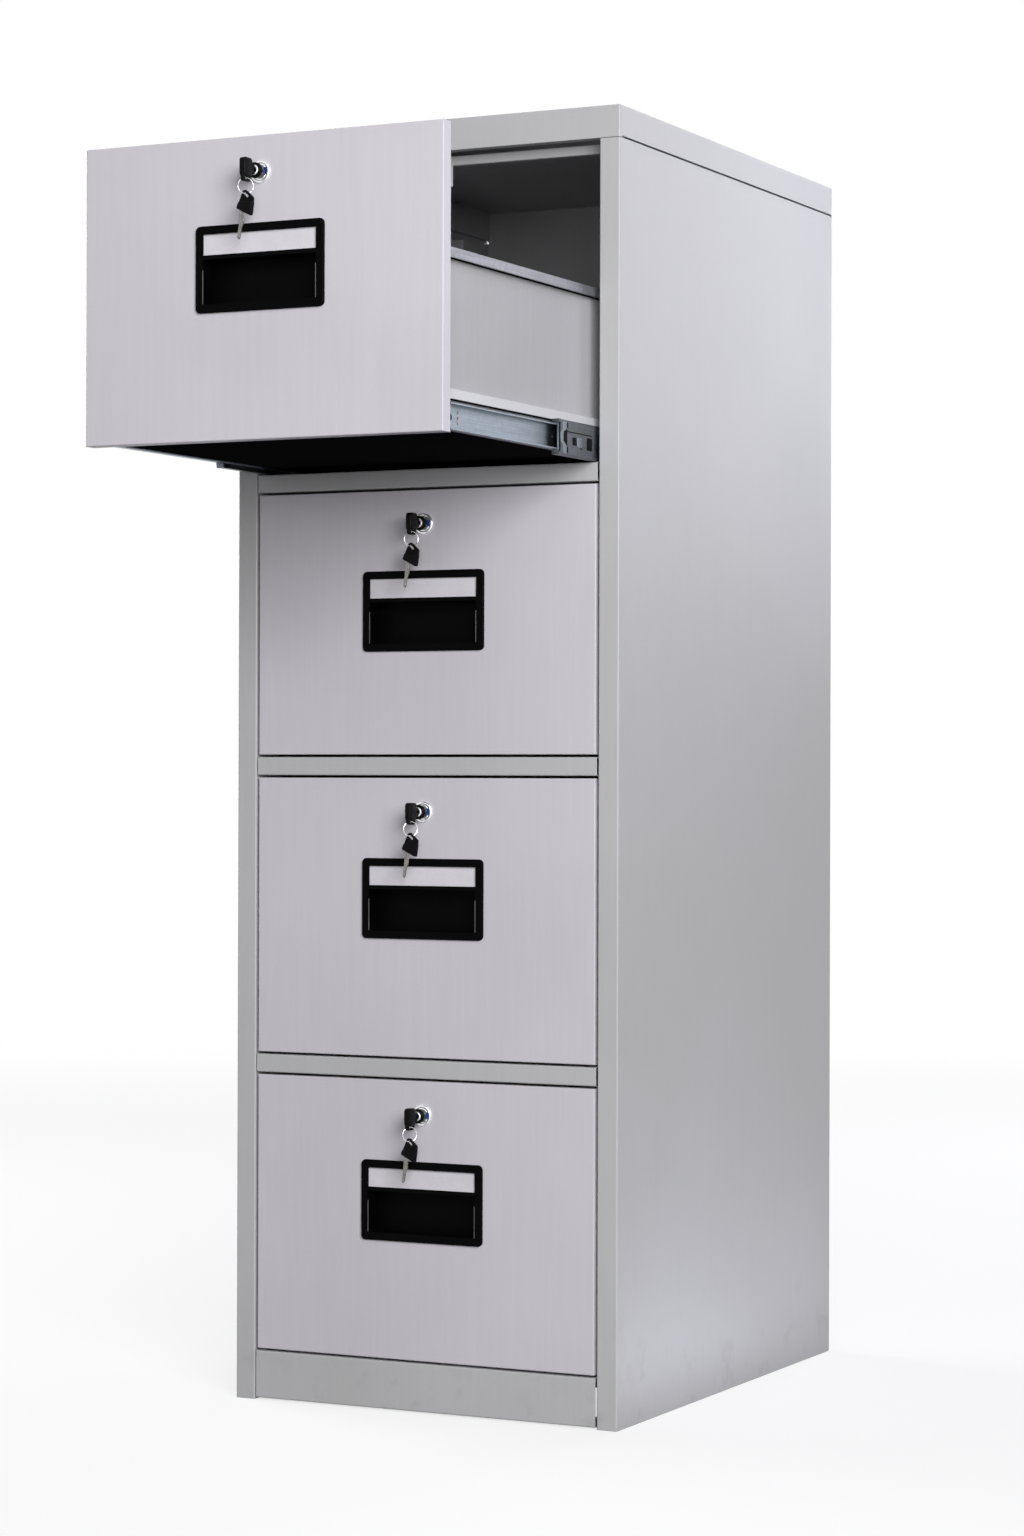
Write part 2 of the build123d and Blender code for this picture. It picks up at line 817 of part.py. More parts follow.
# Cabinet body
right_wall = make_side_panel()
right_posts = [make_post(front_post), make_post(rear_post)]
right_slides = [make_outer_slide(slide_level) for slide_level in slide_levels]
right_screws = [make_slide_screw(y, slide_level)
                for y in (front_post, rear_post) for slide_level in slide_levels]
nodes = {
    "side_panel_right": [right_wall],
    "side_panel_left": [mirror(right_wall, about=Plane.YZ)],
    "back_panel": [make_back_panel()],
    "top_cap": [make_top_cap()],
    "bottom_panel": [make_bottom_panel()],
    "floor_brace": [make_floor_brace()],
    "top_rail": [make_top_rail()],
    "base_rail": [make_rail(base_lift, base_top, base_lip)],
    "slide_posts_right": right_posts,
    "slide_posts_left": [mirror(post, about=Plane.YZ) for post in right_posts],
    "outer_slides_right": right_slides,
    "outer_slides_left": [mirror(slide, about=Plane.YZ) for slide in right_slides],
    "slide_screws": both_sides(right_screws),
}
for index, bottom in enumerate(rail_bottoms):
    nodes[f"cross_rail_{index + 1}"] = [make_rail(bottom, bottom + rail_height, rail_lip)]

# Drawers, numbered from the top
for index in range(len(panel_heights)):
    bottom = panel_bottoms[index]
    tall = panel_heights[index]
    slide_level = slide_levels[index]
    lock_level = bottom + tall - lock_drop
    out = drawers_out[index]
    name = f"drawer_{index + 1}_"
    nodes[name + "front"] = [make_drawer_front(bottom, tall, out)]
    nodes[name + "tray"] = [make_tray(bottom, slide_level, out)]
    nodes[name + "handle"] = [make_handle(bottom, tall, out)]
    nodes[name + "label"] = [make_label(bottom, tall, out)]
    nodes[name + "inner_slides"] = both_sides([make_inner_slide(slide_level, out)])
    nodes[name + "middle_slides"] = both_sides(make_middle_slide(slide_level, middles_out[index]))
    nodes[name + "lock_case"] = make_lock_case(lock_level, out)
    nodes[name + "lock_plug"] = make_lock_plug(lock_level, out)
    nodes[name + "key"] = [make_key(lock_level, out)]
    nodes[name + "key_ring"] = [make_ring(lock_level, out)]
    nodes[name + "spare_key"] = [make_spare_key(lock_level, out)]

os.makedirs("parts", exist_ok=True)
for name, pieces in nodes.items():
    piece = pieces[0] if len(pieces) == 1 else group(name, pieces)
    piece.label = name
    export_step(piece, f"parts/{name}.step")
print(f"{len(nodes)} pieces, {width} x {depth} x {height} mm")
print("slide levels", slide_levels, "front bottoms", panel_bottoms)
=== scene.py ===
import math
import bmesh
import bpy
from mathutils import Matrix, Vector


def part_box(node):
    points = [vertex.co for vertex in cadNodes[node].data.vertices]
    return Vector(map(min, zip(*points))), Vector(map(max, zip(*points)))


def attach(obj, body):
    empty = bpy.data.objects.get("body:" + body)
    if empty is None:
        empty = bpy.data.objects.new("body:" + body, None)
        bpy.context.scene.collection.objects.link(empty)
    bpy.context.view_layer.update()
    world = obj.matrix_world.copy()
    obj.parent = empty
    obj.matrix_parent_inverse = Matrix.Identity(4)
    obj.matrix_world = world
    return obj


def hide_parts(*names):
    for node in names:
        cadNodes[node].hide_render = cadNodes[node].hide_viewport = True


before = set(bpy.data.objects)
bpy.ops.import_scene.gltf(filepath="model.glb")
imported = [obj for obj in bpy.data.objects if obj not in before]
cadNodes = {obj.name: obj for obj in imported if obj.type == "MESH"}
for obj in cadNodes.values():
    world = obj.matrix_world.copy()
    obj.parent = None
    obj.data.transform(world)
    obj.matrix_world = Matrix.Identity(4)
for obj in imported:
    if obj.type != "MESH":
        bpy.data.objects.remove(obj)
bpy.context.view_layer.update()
mm = 0.001
drawerCount = 4
fullTurn = 2 * math.pi


# A colour as a paint chart gives it, from 0 to 255
def paintTone(*parts):
    return tuple(((part / 255 + 0.055) / 1.055) ** 2.4 for part in parts) + (1.0,)


# Small helpers for shader trees
def putValue(tree, socket, value):
    if isinstance(value, bpy.types.NodeSocket):
        tree.links.new(value, socket)
    else:
        socket.default_value = value


def noiseOf(tree, vector, scale, detail=2.0, roughness=0.5):
    node = tree.nodes.new("ShaderNodeTexNoise")
    node.inputs["Detail"].default_value = detail
    node.inputs["Roughness"].default_value = roughness
    tree.links.new(vector, node.inputs["Vector"])
    putValue(tree, node.inputs["Scale"], scale)
    return node.outputs["Fac"]


def mathOf(tree, operation, first, second):
    node = tree.nodes.new("ShaderNodeMath")
    node.operation = operation
    putValue(tree, node.inputs[0], first)
    putValue(tree, node.inputs[1], second)
    return node.outputs[0]


def rangeOf(tree, value, low, high, toLow=0.0, toHigh=1.0):
    node = tree.nodes.new("ShaderNodeMapRange")
    node.interpolation_type = "SMOOTHSTEP"
    for label, bound in (("From Min", low), ("From Max", high), ("To Min", toLow), ("To Max", toHigh)):
        putValue(tree, node.inputs[label], bound)
    tree.links.new(value, node.inputs["Value"])
    return node.outputs["Result"]


def mixOf(tree, factor, first, second):
    node = tree.nodes.new("ShaderNodeMix")
    node.data_type = "RGBA"
    tree.links.new(factor, node.inputs["Factor"])
    colourSockets = [socket for socket in node.inputs if socket.type == "RGBA"]
    putValue(tree, colourSockets[0], first)
    putValue(tree, colourSockets[1], second)
    return [socket for socket in node.outputs if socket.type == "RGBA"][0]


def stretched(tree, vector, scale):
    node = tree.nodes.new("ShaderNodeMapping")
    node.inputs["Scale"].default_value = scale
    tree.links.new(vector, node.inputs["Vector"])
    return node.outputs["Vector"]


def weighted(tree, *parts):  # sum of values, each times its share
    total = None
    for value, share in parts:
        part = mathOf(tree, "MULTIPLY", value, share)
        total = part if total is None else mathOf(tree, "ADD", total, part)
    return total


# Shared groups: each puts out a tone, a height and a wear mask. Noises have scale, detail and roughness
def startGroup(name, inputs):
    tree = bpy.data.node_groups.new(name, "ShaderNodeTree")
    for label, value in inputs.items():
        socket = tree.interface.new_socket(name=label, in_out="INPUT", socket_type="NodeSocketFloat")
        socket.default_value = value
    for label in ("tone", "height", "wear"):
        tree.interface.new_socket(name=label, in_out="OUTPUT", socket_type="NodeSocketFloat")
    place = tree.nodes.new("ShaderNodeTexCoord").outputs["Object"]
    return tree, tree.nodes.new("NodeGroupInput").outputs, place


def endGroup(tree, tone, height, wear):
    end = tree.nodes.new("NodeGroupOutput")
    for label, value in (("tone", tone), ("height", height), ("wear", wear)):
        tree.links.new(value, end.inputs[label])
    return tree


# Orange peel, fine specks, faint upright streaks, and scuffs near the floor
coatLook = {
    "broad": (3.5, 3.0), "streakStretch": (230.0, 230.0, 9.0), "speckShare": 0.36, "broadShare": 0.5,
    "streakShare": 0.14, "peelHeight": 0.8, "speckHeight": 0.2, "scuff": (38.0, 4.0, 0.6),
    "scuffRange": (0.52, 0.74)}


def powderCoatGroup():
    look = coatLook
    tree, given, place = startGroup("powderCoat", {"peelScale": 420.0, "speckScale": 1300.0,
                                                   "scuffReach": 0.16})
    peel = noiseOf(tree, place, given["peelScale"], 1.0)
    speck = noiseOf(tree, place, given["speckScale"])
    broad = noiseOf(tree, place, *look["broad"])
    streak = noiseOf(tree, stretched(tree, place, look["streakStretch"]), 1.0)
    tone = weighted(tree, (speck, look["speckShare"]), (broad, look["broadShare"]),
                    (streak, look["streakShare"]))
    height = weighted(tree, (peel, look["peelHeight"]), (speck, look["speckHeight"]))
    parts = tree.nodes.new("ShaderNodeSeparateXYZ")
    tree.links.new(place, parts.inputs[0])
    low = rangeOf(tree, parts.outputs["Z"], 0.0, given["scuffReach"], 1.0, 0.0)
    patches = noiseOf(tree, place, *look["scuff"])
    return endGroup(tree, tone, height,
                    mathOf(tree, "MULTIPLY", low, rangeOf(tree, patches, *look["scuffRange"])))


# Streaks along the slides' length, with plating spangle and fine scratches
metalLook = {
    "streakStretch": (1400.0, 12.0, 1400.0), "streakDetail": 3.0, "streakShare": 0.7, "spangleShare": 0.3,
    "scratchStretch": (900.0, 6.0, 900.0), "scratchDetail": 4.0, "scratchRange": (0.62, 0.75)}


def drawnMetalGroup():
    look = metalLook
    tree, given, place = startGroup("drawnMetal", {"spangleScale": 160.0, "wearAmount": 0.5})
    streak = noiseOf(tree, stretched(tree, place, look["streakStretch"]), 1.0, look["streakDetail"])
    spangle = noiseOf(tree, place, given["spangleScale"])
    tone = weighted(tree, (streak, look["streakShare"]), (spangle, look["spangleShare"]))
    scratch = noiseOf(tree, stretched(tree, place, look["scratchStretch"]), 1.0, look["scratchDetail"])
    scratch = rangeOf(tree, scratch, *look["scratchRange"])
    return endGroup(tree, tone, streak, mathOf(tree, "MULTIPLY", scratch, given["wearAmount"]))


# Spark-eroded grain of moulded plastic, with patches polished by hands
mouldLook = {
    "broad": (22.0, 3.0), "grainShare": 0.4, "broadShare": 0.6, "rub": (60.0, 3.0, 0.6),
    "rubRange": (0.55, 0.75)}


def mouldedGroup():
    look = mouldLook
    tree, given, place = startGroup("mouldedGrain", {"grainScale": 1900.0, "wearAmount": 0.5})
    grain = noiseOf(tree, place, given["grainScale"])
    broad = noiseOf(tree, place, *look["broad"])
    tone = weighted(tree, (grain, look["grainShare"]), (broad, look["broadShare"]))
    rubbed = rangeOf(tree, noiseOf(tree, place, *look["rub"]), *look["rubRange"])
    return endGroup(tree, tone, grain, mathOf(tree, "MULTIPLY", rubbed, given["wearAmount"]))


# Short fibres of the label card, with faint stains
cardLook = {
    "fibreStretch": (0.5, 1.0, 1.6), "fibreDetail": 4.0, "fibreRoughness": 0.7, "fibreShare": 0.6,
    "broadScale": 40.0, "broadShare": 0.4, "stain": (55.0, 3.0), "stainRange": (0.6, 0.8)}


def cardGroup():
    look = cardLook
    tree, given, place = startGroup("cardFibre", {"fibreScale": 900.0, "wearAmount": 0.3})
    fibre = noiseOf(tree, stretched(tree, place, look["fibreStretch"]), given["fibreScale"],
                    look["fibreDetail"], look["fibreRoughness"])
    broad = noiseOf(tree, place, look["broadScale"])
    tone = weighted(tree, (fibre, look["fibreShare"]), (broad, look["broadShare"]))
    stain = rangeOf(tree, noiseOf(tree, place, *look["stain"]), *look["stainRange"])
    return endGroup(tree, tone, fibre, mathOf(tree, "MULTIPLY", stain, given["wearAmount"]))


powderCoat = powderCoatGroup()
drawnMetal = drawnMetalGroup()
mouldedGrain = mouldedGroup()
cardFibre = cardGroup()
print("shader groups made")

# What each finish looks like. Tones: two colours (0 to 255) that mix by the grain's tone, and a worn one
finishes = {
    "bodyPaint": {"group": powderCoat, "rough": (0.36, 0.46),
        "tones": ((170, 170, 171), (178, 178, 181), (165, 165, 166)), "bump": 0.22, "bumpDepth": 0.0004,
        "edge": 0.0012, "dusty": (0.04, 0.8)},
    "frontPaint": {"group": powderCoat, "grain": {"scuffReach": 0.001}, "rough": (0.38, 0.48),
        "tones": ((187, 184, 191), (196, 193, 200), (170, 168, 172)), "bump": 0.18, "bumpDepth": 0.0004,
        "edge": 0.0012},
    # the tray's dark colour for faces that look down is painted shade under the trays
    "trayPaint": {"group": powderCoat, "grain": {"scuffReach": 0.001}, "rough": (0.34, 0.44),
        "specular": 0.0, "tones": ((176, 176, 179), (185, 185, 189), (162, 162, 164)),
        "paintedShadeBelow": (30, 30, 31), "bump": 0.16, "bumpDepth": 0.0004, "edge": 0.0008},
    # painted highlight: a lighter copy of the tray paint for the ledge bands, standing in for the light
    # that the lower bead catches
    "ledgeHighlightPaint": {"group": powderCoat, "grain": {"scuffReach": 0.001}, "rough": (0.3, 0.4),
        "specular": 0.15, "tones": ((198, 198, 201), (207, 207, 211), (180, 180, 182)), "bump": 0.16,
        "bumpDepth": 0.0004},
    "zincPlate": {"group": drawnMetal, "grain": {"wearAmount": 0.2}, "rough": (0.3, 0.38), "metallic": 1.0,
        "tones": ((120, 129, 139), (142, 151, 161), (186, 189, 193)), "bump": 0.1},
    "railSteel": {"group": drawnMetal, "grain": {"wearAmount": 0.2}, "rough": (0.3, 0.42), "metallic": 0.6,
        "tones": ((140, 141, 149), (168, 169, 178), (190, 191, 198)), "bump": 0.2},
    # painted shade: this zinc is darker than the inner slides' zinc, standing in for the shade on the outer
    # and middle members inside the cabinet
    "shadedZinc": {"group": drawnMetal, "rough": (0.3, 0.46), "metallic": 1.0,
        "tones": ((84, 88, 94), (112, 116, 122), (150, 152, 156)), "bump": 0.15},
    "handlePlastic": {"group": mouldedGrain, "rough": (0.36, 0.48), "specular": 0.025,
        "tones": ((2, 2, 2), (4, 4, 5), (9, 9, 10)), "bump": 0.3},
    "keyPlastic": {"group": mouldedGrain, "grain": {"wearAmount": 0.7}, "rough": (0.26, 0.38),
        "specular": 0.07, "tones": ((4, 4, 6), (8, 8, 10), (18, 18, 22)), "bump": 0.25},
    # painted highlight: grey plastic for the strips that stand in for glints in the finger pocket
    "glintPlastic": {"group": mouldedGrain, "rough": (0.3, 0.4),
        "tones": ((76, 76, 79), (96, 96, 99), (112, 112, 115)), "bump": 0.2},
    "stopPlastic": {"group": mouldedGrain, "rough": (0.4, 0.55), "specular": 0.03,
        "tones": ((8, 8, 9), (16, 16, 17), (28, 28, 30)), "bump": 0.3},
    "chromePlate": {"group": drawnMetal, "grain": {"wearAmount": 0.2}, "rough": (0.16, 0.24),
        "metallic": 0.85, "tones": ((226, 227, 230), (240, 240, 242), (200, 200, 203)), "bump": 0.05},
    "plugSteel": {"group": drawnMetal, "rough": (0.2, 0.34), "metallic": 1.0,
        "tones": ((186, 187, 190), (212, 213, 216), (228, 228, 230)), "bump": 0.15},
    "bladeSteel": {"group": drawnMetal, "grain": {"wearAmount": 0.7}, "rough": (0.18, 0.32),
        "metallic": 1.0, "tones": ((108, 105, 101), (150, 147, 143), (196, 194, 190)), "bump": 0.15},
    "ringWire": {"group": drawnMetal, "rough": (0.12, 0.24), "metallic": 1.0,
        "tones": ((206, 206, 208), (228, 228, 230), (238, 238, 239)), "bump": 0.1},
    "brightNickel": {"group": drawnMetal, "grain": {"wearAmount": 0.2}, "rough": (0.25, 0.35),
        "metallic": 0.4, "tones": ((224, 224, 226), (238, 238, 240), (205, 205, 208)), "bump": 0.05},
    "labelCard": {"group": cardFibre, "rough": (0.7, 0.85),
        "tones": ((198, 196, 202), (208, 206, 212), (194, 192, 196)), "bump": 0.2},
    "blueEnamel": {"group": mouldedGrain, "rough": (0.18, 0.3),
        "tones": ((24, 40, 96), (44, 72, 138), (78, 104, 160)), "bump": 0.1},
}


# Tone range that spreads over both colours, and how steeply a face has to look down or up (normal's Z)
finishRanges = {
    "tone": (0.35, 0.65), "down": (-0.95, -0.8), "up": (0.8, 0.95), "specular": 0.5, "edgeSamples": 4,
    "bumpDepth": 0.0001}


def finishMaterial(name, look):
    material = bpy.data.materials.new(name)
    material.use_nodes = True
    tree = material.node_tree
    shader = tree.nodes["Principled BSDF"]
    for label, key in (("Metallic", "metallic"), ("Specular IOR Level", "specular")):
        if key in look:
            shader.inputs[label].default_value = look[key]
    grain = tree.nodes.new("ShaderNodeGroup")
    grain.node_tree = look["group"]
    for label, value in look.get("grain", {}).items():
        grain.inputs[label].default_value = value
    tone = rangeOf(tree, grain.outputs["tone"], *finishRanges["tone"])
    colour, shade, worn = (paintTone(*part) for part in look["tones"])
    colour = mixOf(tree, grain.outputs["wear"], mixOf(tree, tone, colour, shade), worn)
    rough = rangeOf(tree, tone, 0.0, 1.0, *look["rough"])
    if "paintedShadeBelow" in look or "dusty" in look:
        normal = tree.nodes.new("ShaderNodeSeparateXYZ")
        tree.links.new(tree.nodes.new("ShaderNodeTexCoord").outputs["Normal"], normal.inputs[0])
        lean = normal.outputs["Z"]
    if "paintedShadeBelow" in look:  # painted shade: faces that look down are painted dark, standing in for the shade under the trays and under their beads
        down = rangeOf(tree, lean, *finishRanges["down"], 1.0, 0.0)
        colour = mixOf(tree, down, colour, paintTone(*look["paintedShadeBelow"]))
    if "dusty" in look:  # faces that look up carry a thin film of dust, so they mirror less
        specular, dustRough = look["dusty"]
        tree.links.new(rangeOf(tree, lean, *finishRanges["up"], finishRanges["specular"], specular),
                       shader.inputs["Specular IOR Level"])
        rough = mathOf(tree, "MAXIMUM", rough, rangeOf(tree, lean, *finishRanges["up"], 0.0, dustRough))
    tree.links.new(colour, shader.inputs["Base Color"])
    tree.links.new(rough, shader.inputs["Roughness"])
    bump = tree.nodes.new("ShaderNodeBump")
    bump.inputs["Strength"].default_value = look["bump"]
    bump.inputs["Distance"].default_value = look.get("bumpDepth", finishRanges["bumpDepth"])
    tree.links.new(grain.outputs["height"], bump.inputs["Height"])
    tree.links.new(bump.outputs["Normal"], shader.inputs["Normal"])
    if "edge" in look:  # the small radius that paint leaves on a bend
        softEdge = tree.nodes.new("ShaderNodeBevel")
        softEdge.samples = finishRanges["edgeSamples"]
        softEdge.inputs["Radius"].default_value = look["edge"]
        tree.links.new(softEdge.outputs["Normal"], bump.inputs["Normal"])
    return material


materials = {name: finishMaterial(name, look) for name, look in finishes.items()}
print("materials made:", len(materials))


# Helpers for meshes
def smoothMesh(mesh, sharpFrom=35.0):
    mesh.polygons.foreach_set("use_smooth", [True] * len(mesh.polygons))
    mesh.set_sharp_from_angle(angle=math.radians(sharpFrom))
    mesh.update()
    return mesh


def tidyMesh(mesh, weld=0.00001):
    work = bmesh.new()
    work.from_mesh(mesh)
    bmesh.ops.remove_doubles(work, verts=work.verts, dist=weld)
    bmesh.ops.recalc_face_normals(work, faces=work.faces)
    work.to_mesh(mesh)
    work.free()
    return mesh


def joinedMesh(name, meshes):
    work = bmesh.new()
    for mesh in meshes:
        work.from_mesh(mesh)
    joined = bpy.data.meshes.new(name)
    work.to_mesh(joined)
    work.free()
    return joined


def evaluatedMesh(holder):
    bpy.context.view_layer.update()
    return bpy.data.meshes.new_from_object(holder.evaluated_get(bpy.context.evaluated_depsgraph_get()))


def linkedObject(name, data):
    made = bpy.data.objects.new(name, data)
    bpy.context.scene.collection.objects.link(made)
    return made


def addPiece(name, mesh, finish, body, replaced=()):
    piece = linkedObject(name, smoothMesh(mesh))
    mesh.materials.clear()
    mesh.materials.append(materials[finish])
    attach(piece, body)
    if replaced:
        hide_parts(*replaced)
    return piece


def latheMesh(name, profile, place, segments=40):  # profile is (radius, along) in mm, about the Y axis
    work = bmesh.new()
    rings = []
    for radius, along in profile:
        if radius == 0:
            rings.append([work.verts.new((0, along * mm, 0))])
            continue
        ring = []
        for step in range(segments):
            angle = fullTurn * step / segments
            reach = (radius(angle) if callable(radius) else radius) * mm
            ring.append(work.verts.new((reach * math.cos(angle), along * mm, reach * math.sin(angle))))
        rings.append(ring)
    pairs = list(zip(rings, rings[1:]))
    if len(rings[0]) > 1:
        pairs.append((rings[-1], rings[0]))
    for first, second in pairs:
        for step in range(segments):
            after = (step + 1) % segments
            corners = [first[step % len(first)], first[after % len(first)],
                       second[after % len(second)], second[step % len(second)]]
            work.faces.new(list(dict.fromkeys(corners)))
    bmesh.ops.recalc_face_normals(work, faces=work.faces)
    mesh = bpy.data.meshes.new(name)
    work.to_mesh(mesh)
    work.free()
    mesh.transform(place)
    return mesh


def curveMesh(name, curve, lines, closed, place):  # lines hold points in mm
    for line in lines:
        spline = curve.splines.new("POLY")
        spline.points.add(len(line) - 1)
        for point, position in zip(spline.points, line):
            point.co = (*(value * mm for value in position), 1)
        spline.use_cyclic_u = closed
    holder = linkedObject(name + "Holder", curve)
    mesh = evaluatedMesh(holder)
    bpy.data.objects.remove(holder)
    bpy.data.curves.remove(curve)
    mesh.transform(place)
    return tidyMesh(mesh)


def plateMesh(name, outlines, thickness, edge, place):  # sizes in mm; the first outline is the outer one
    curve = bpy.data.curves.new(name + "Outline", "CURVE")
    curve.dimensions = "2D"
    curve.fill_mode = "BOTH"
    curve.extrude = (thickness / 2 - edge) * mm
    curve.bevel_depth = edge * mm
    curve.bevel_resolution = 2
    curve.offset = -edge * mm
    lines = [[(across, up, 0) for across, up in outline] for outline in outlines]
    return curveMesh(name, curve, lines, True, place)


def wireMesh(name, points, radius, place):  # an open wire through points in mm, with closed ends
    curve = bpy.data.curves.new(name + "Line", "CURVE")
    curve.dimensions = "3D"
    curve.bevel_depth = radius * mm
    curve.bevel_resolution = 3
    curve.use_fill_caps = True
    return curveMesh(name, curve, [points], False, place)


def roundedOutline(corners, radius, steps=6):  # corners go anticlockwise
    points = []
    for index, corner in enumerate(corners):
        here = Vector(corner)
        toBefore = (Vector(corners[index - 1]) - here).normalized()
        toAfter = (Vector(corners[(index + 1) % len(corners)]) - here).normalized()
        halfAngle = toBefore.angle(toAfter) / 2
        middle = here + (toBefore + toAfter).normalized() * (radius / math.sin(halfAngle))
        first = here + toBefore * (radius / math.tan(halfAngle)) - middle
        last = here + toAfter * (radius / math.tan(halfAngle)) - middle
        start = math.atan2(first.y, first.x)
        sweep = (math.atan2(last.y, last.x) - start + math.pi) % fullTurn - math.pi
        for step in range(steps + 1):
            angle = start + sweep * step / steps
            points.append((middle.x + radius * math.cos(angle), middle.y + radius * math.sin(angle)))
    return points


def slotOutline(first, last, radius, steps=8):  # goes anticlockwise
    lean = math.atan2(last[1] - first[1], last[0] - first[0])
    points = []
    for centre, start in ((last, lean - math.pi / 2), (first, lean + math.pi / 2)):
        for step in range(steps + 1):
            angle = start + math.pi * step / steps
            points.append((centre[0] + radius * math.cos(angle), centre[1] + radius * math.sin(angle)))
    return points


def roundedBox(low, high, radius):
    return roundedOutline([low, (high[0], low[1]), high, (low[0], high[1])], radius)


def facingFront(place):  # across is X and up is Z, thickness is along the depth
    return place @ Matrix(((1, 0, 0, 0), (0, 0, -1, 0), (0, 1, 0, 0), (0, 0, 0, 1)))


def facingSide(place):  # across is Y and up is Z, thickness is along the width
    return place @ Matrix(((0, 0, 1, 0), (1, 0, 0, 0), (0, 1, 0, 0), (0, 0, 0, 1)))


def repeatTree():  # copies of one small mesh along a straight line
    tree = bpy.data.node_groups.new("repeatAlongLine", "GeometryNodeTree")
    sockets = {}
    for label, kind in (("item", "NodeSocketObject"), ("count", "NodeSocketInt"),
                        ("start", "NodeSocketVector"), ("end", "NodeSocketVector"),
                        ("finish", "NodeSocketMaterial")):
        sockets[label] = tree.interface.new_socket(name=label, in_out="INPUT", socket_type=kind).identifier
    tree.interface.new_socket(name="Geometry", in_out="OUTPUT", socket_type="NodeSocketGeometry")
    given = tree.nodes.new("NodeGroupInput").outputs
    line = tree.nodes.new("GeometryNodeMeshLine")
    line.mode = "END_POINTS"
    item = tree.nodes.new("GeometryNodeObjectInfo")
    copies = tree.nodes.new("GeometryNodeInstanceOnPoints")
    real = tree.nodes.new("GeometryNodeRealizeInstances")
    painted = tree.nodes.new("GeometryNodeSetMaterial")
    end = tree.nodes.new("NodeGroupOutput")
    for source, target in ((given["count"], line.inputs["Count"]),
                           (given["start"], line.inputs["Start Location"]),
                           (given["end"], line.inputs["Offset"]), (given["item"], item.inputs["Object"]),
                           (line.outputs[0], copies.inputs["Points"]),
                           (item.outputs["Geometry"], copies.inputs["Instance"]),
                           (copies.outputs[0], real.inputs[0]),
                           (real.outputs[0], painted.inputs["Geometry"]),
                           (given["finish"], painted.inputs["Material"]),
                           (painted.outputs[0], end.inputs[0])):
        tree.links.new(source, target)
    return tree, sockets


repeatAlongLine, repeatSockets = repeatTree()


def repeatedMesh(name, itemMesh, rows, finish):  # rows are (start, end, count) in metres
    item = linkedObject(name + "Item", itemMesh)
    made = []
    for start, end, count in rows:
        holder = linkedObject(name + "Row", bpy.data.meshes.new(name + "Row"))
        modifier = holder.modifiers.new("repeat", "NODES")
        modifier.node_group = repeatAlongLine
        for label, value in (("item", item), ("count", count), ("start", start), ("end", end),
                             ("finish", materials[finish])):
            modifier[repeatSockets[label]] = value
        made.append(evaluatedMesh(holder))
        bpy.data.objects.remove(holder)
    bpy.data.objects.remove(item)
    return joinedMesh(name, made)


# Finishes of the pieces that keep their own shape
keptFinishes = {
    "bodyPaint": ("side_panel", "back_panel", "top_cap", "bottom_panel", "floor_brace", "base_rail",
        "top_rail", "cross_rail", "slide_posts"),
    "frontPaint": ("front",), "trayPaint": ("tray",), "handlePlastic": ("handle",), "labelCard": ("label",),
    # the outer and middle slides get the zinc that is painted dark as painted shade
    "zincPlate": ("inner_slides",), "shadedZinc": ("outer_slides", "middle_slides")}
for nodeName, node in cadNodes.items():
    for finish, kinds in keptFinishes.items():
        if nodeName.startswith(kinds) or nodeName.endswith(tuple("_" + kind for kind in kinds)):
            node.data.materials.clear()
            node.data.materials.append(materials[finish])
print("kept pieces painted")


def shift(*offset):  # a move in mm
    return Matrix.Translation(Vector(offset) * mm)


def crossSlot(middle, swing):  # radius of the cross in a screw's head, by angle
    return lambda angle: middle + swing * math.cos(4 * angle)


# Lock: chromed case with its rosette, thread and nut
lockCase = {
    "bore": 6.55, "bodyRadius": 9.2, "endBevel": 0.4, "threadRoot": 8.7, "threadPitch": 1.25,
    "threadStart": 6.0, "threadTurns": 16, "length": 27.0, "rosette": 11.0, "rosetteHeight": 2.2,
    "face": ((11.0, -0.7), (10.7, -1.4), (10.1, -1.95), (9.3, -2.2), (8.5, -2.15), (8.1, -1.85),
        (7.7, -1.7), (7.3, -1.85), (7.0, -2.1), (6.75, -2.15), (6.55, -1.95)),
    "nutCorner": 12.5, "nutHeight": 4.0, "nutSeat": 0.8, "nutBevel": 0.6, "nutFit": 0.05,
    "mark": ((4.6, -3.2), (8.7, 3.8)), "markProud": 0.45, "markThick": 0.6, "markCorner": 0.7,
    "markEdge": 0.15, "steps": 56, "nutSteps": 48}


def lockCaseMesh(name, place):
    size = lockCase
    profile = [(size["bore"], size["length"]), (size["bodyRadius"] - size["endBevel"], size["length"])]
    for turn in range(size["threadTurns"]):  # from the back towards the front
        crest = size["threadStart"] + (size["threadTurns"] - turn) * size["threadPitch"]
        profile.append((size["bodyRadius"], crest))
        profile.append((size["threadRoot"], crest - size["threadPitch"] / 2))
    profile += [(size["bodyRadius"], size["threadStart"]), (size["bodyRadius"], 0.0),
                (size["rosette"], 0.0), *size["face"]]
    body = latheMesh(name, profile, place, size["steps"])

    def hexagon(shrink):
        across = size["nutCorner"] * math.cos(math.pi / 6)
        return lambda angle: across / math.cos((angle + math.pi / 6) % (math.pi / 3) - math.pi / 6) - shrink

    seat = size["nutSeat"]
    top = seat + size["nutHeight"]
    hole = size["bodyRadius"] + size["nutFit"]
    nut = latheMesh(name + "Nut", [
        (hole, seat), (hexagon(0.0), seat), (hexagon(0.0), top - size["nutBevel"]),
        (hexagon(size["nutBevel"]), top), (hole, top)], place, size["nutSteps"])
    return joinedMesh(name, [body, nut])


def lockMarkMesh(name, place):
    size = lockCase
    middle = -size["rosetteHeight"] - size["markProud"] + size["markThick"] / 2
    outline = roundedBox(*size["mark"], size["markCorner"])
    return plateMesh(name, [outline], size["markThick"], size["markEdge"],
                     facingFront(place @ shift(0, middle, 0)))


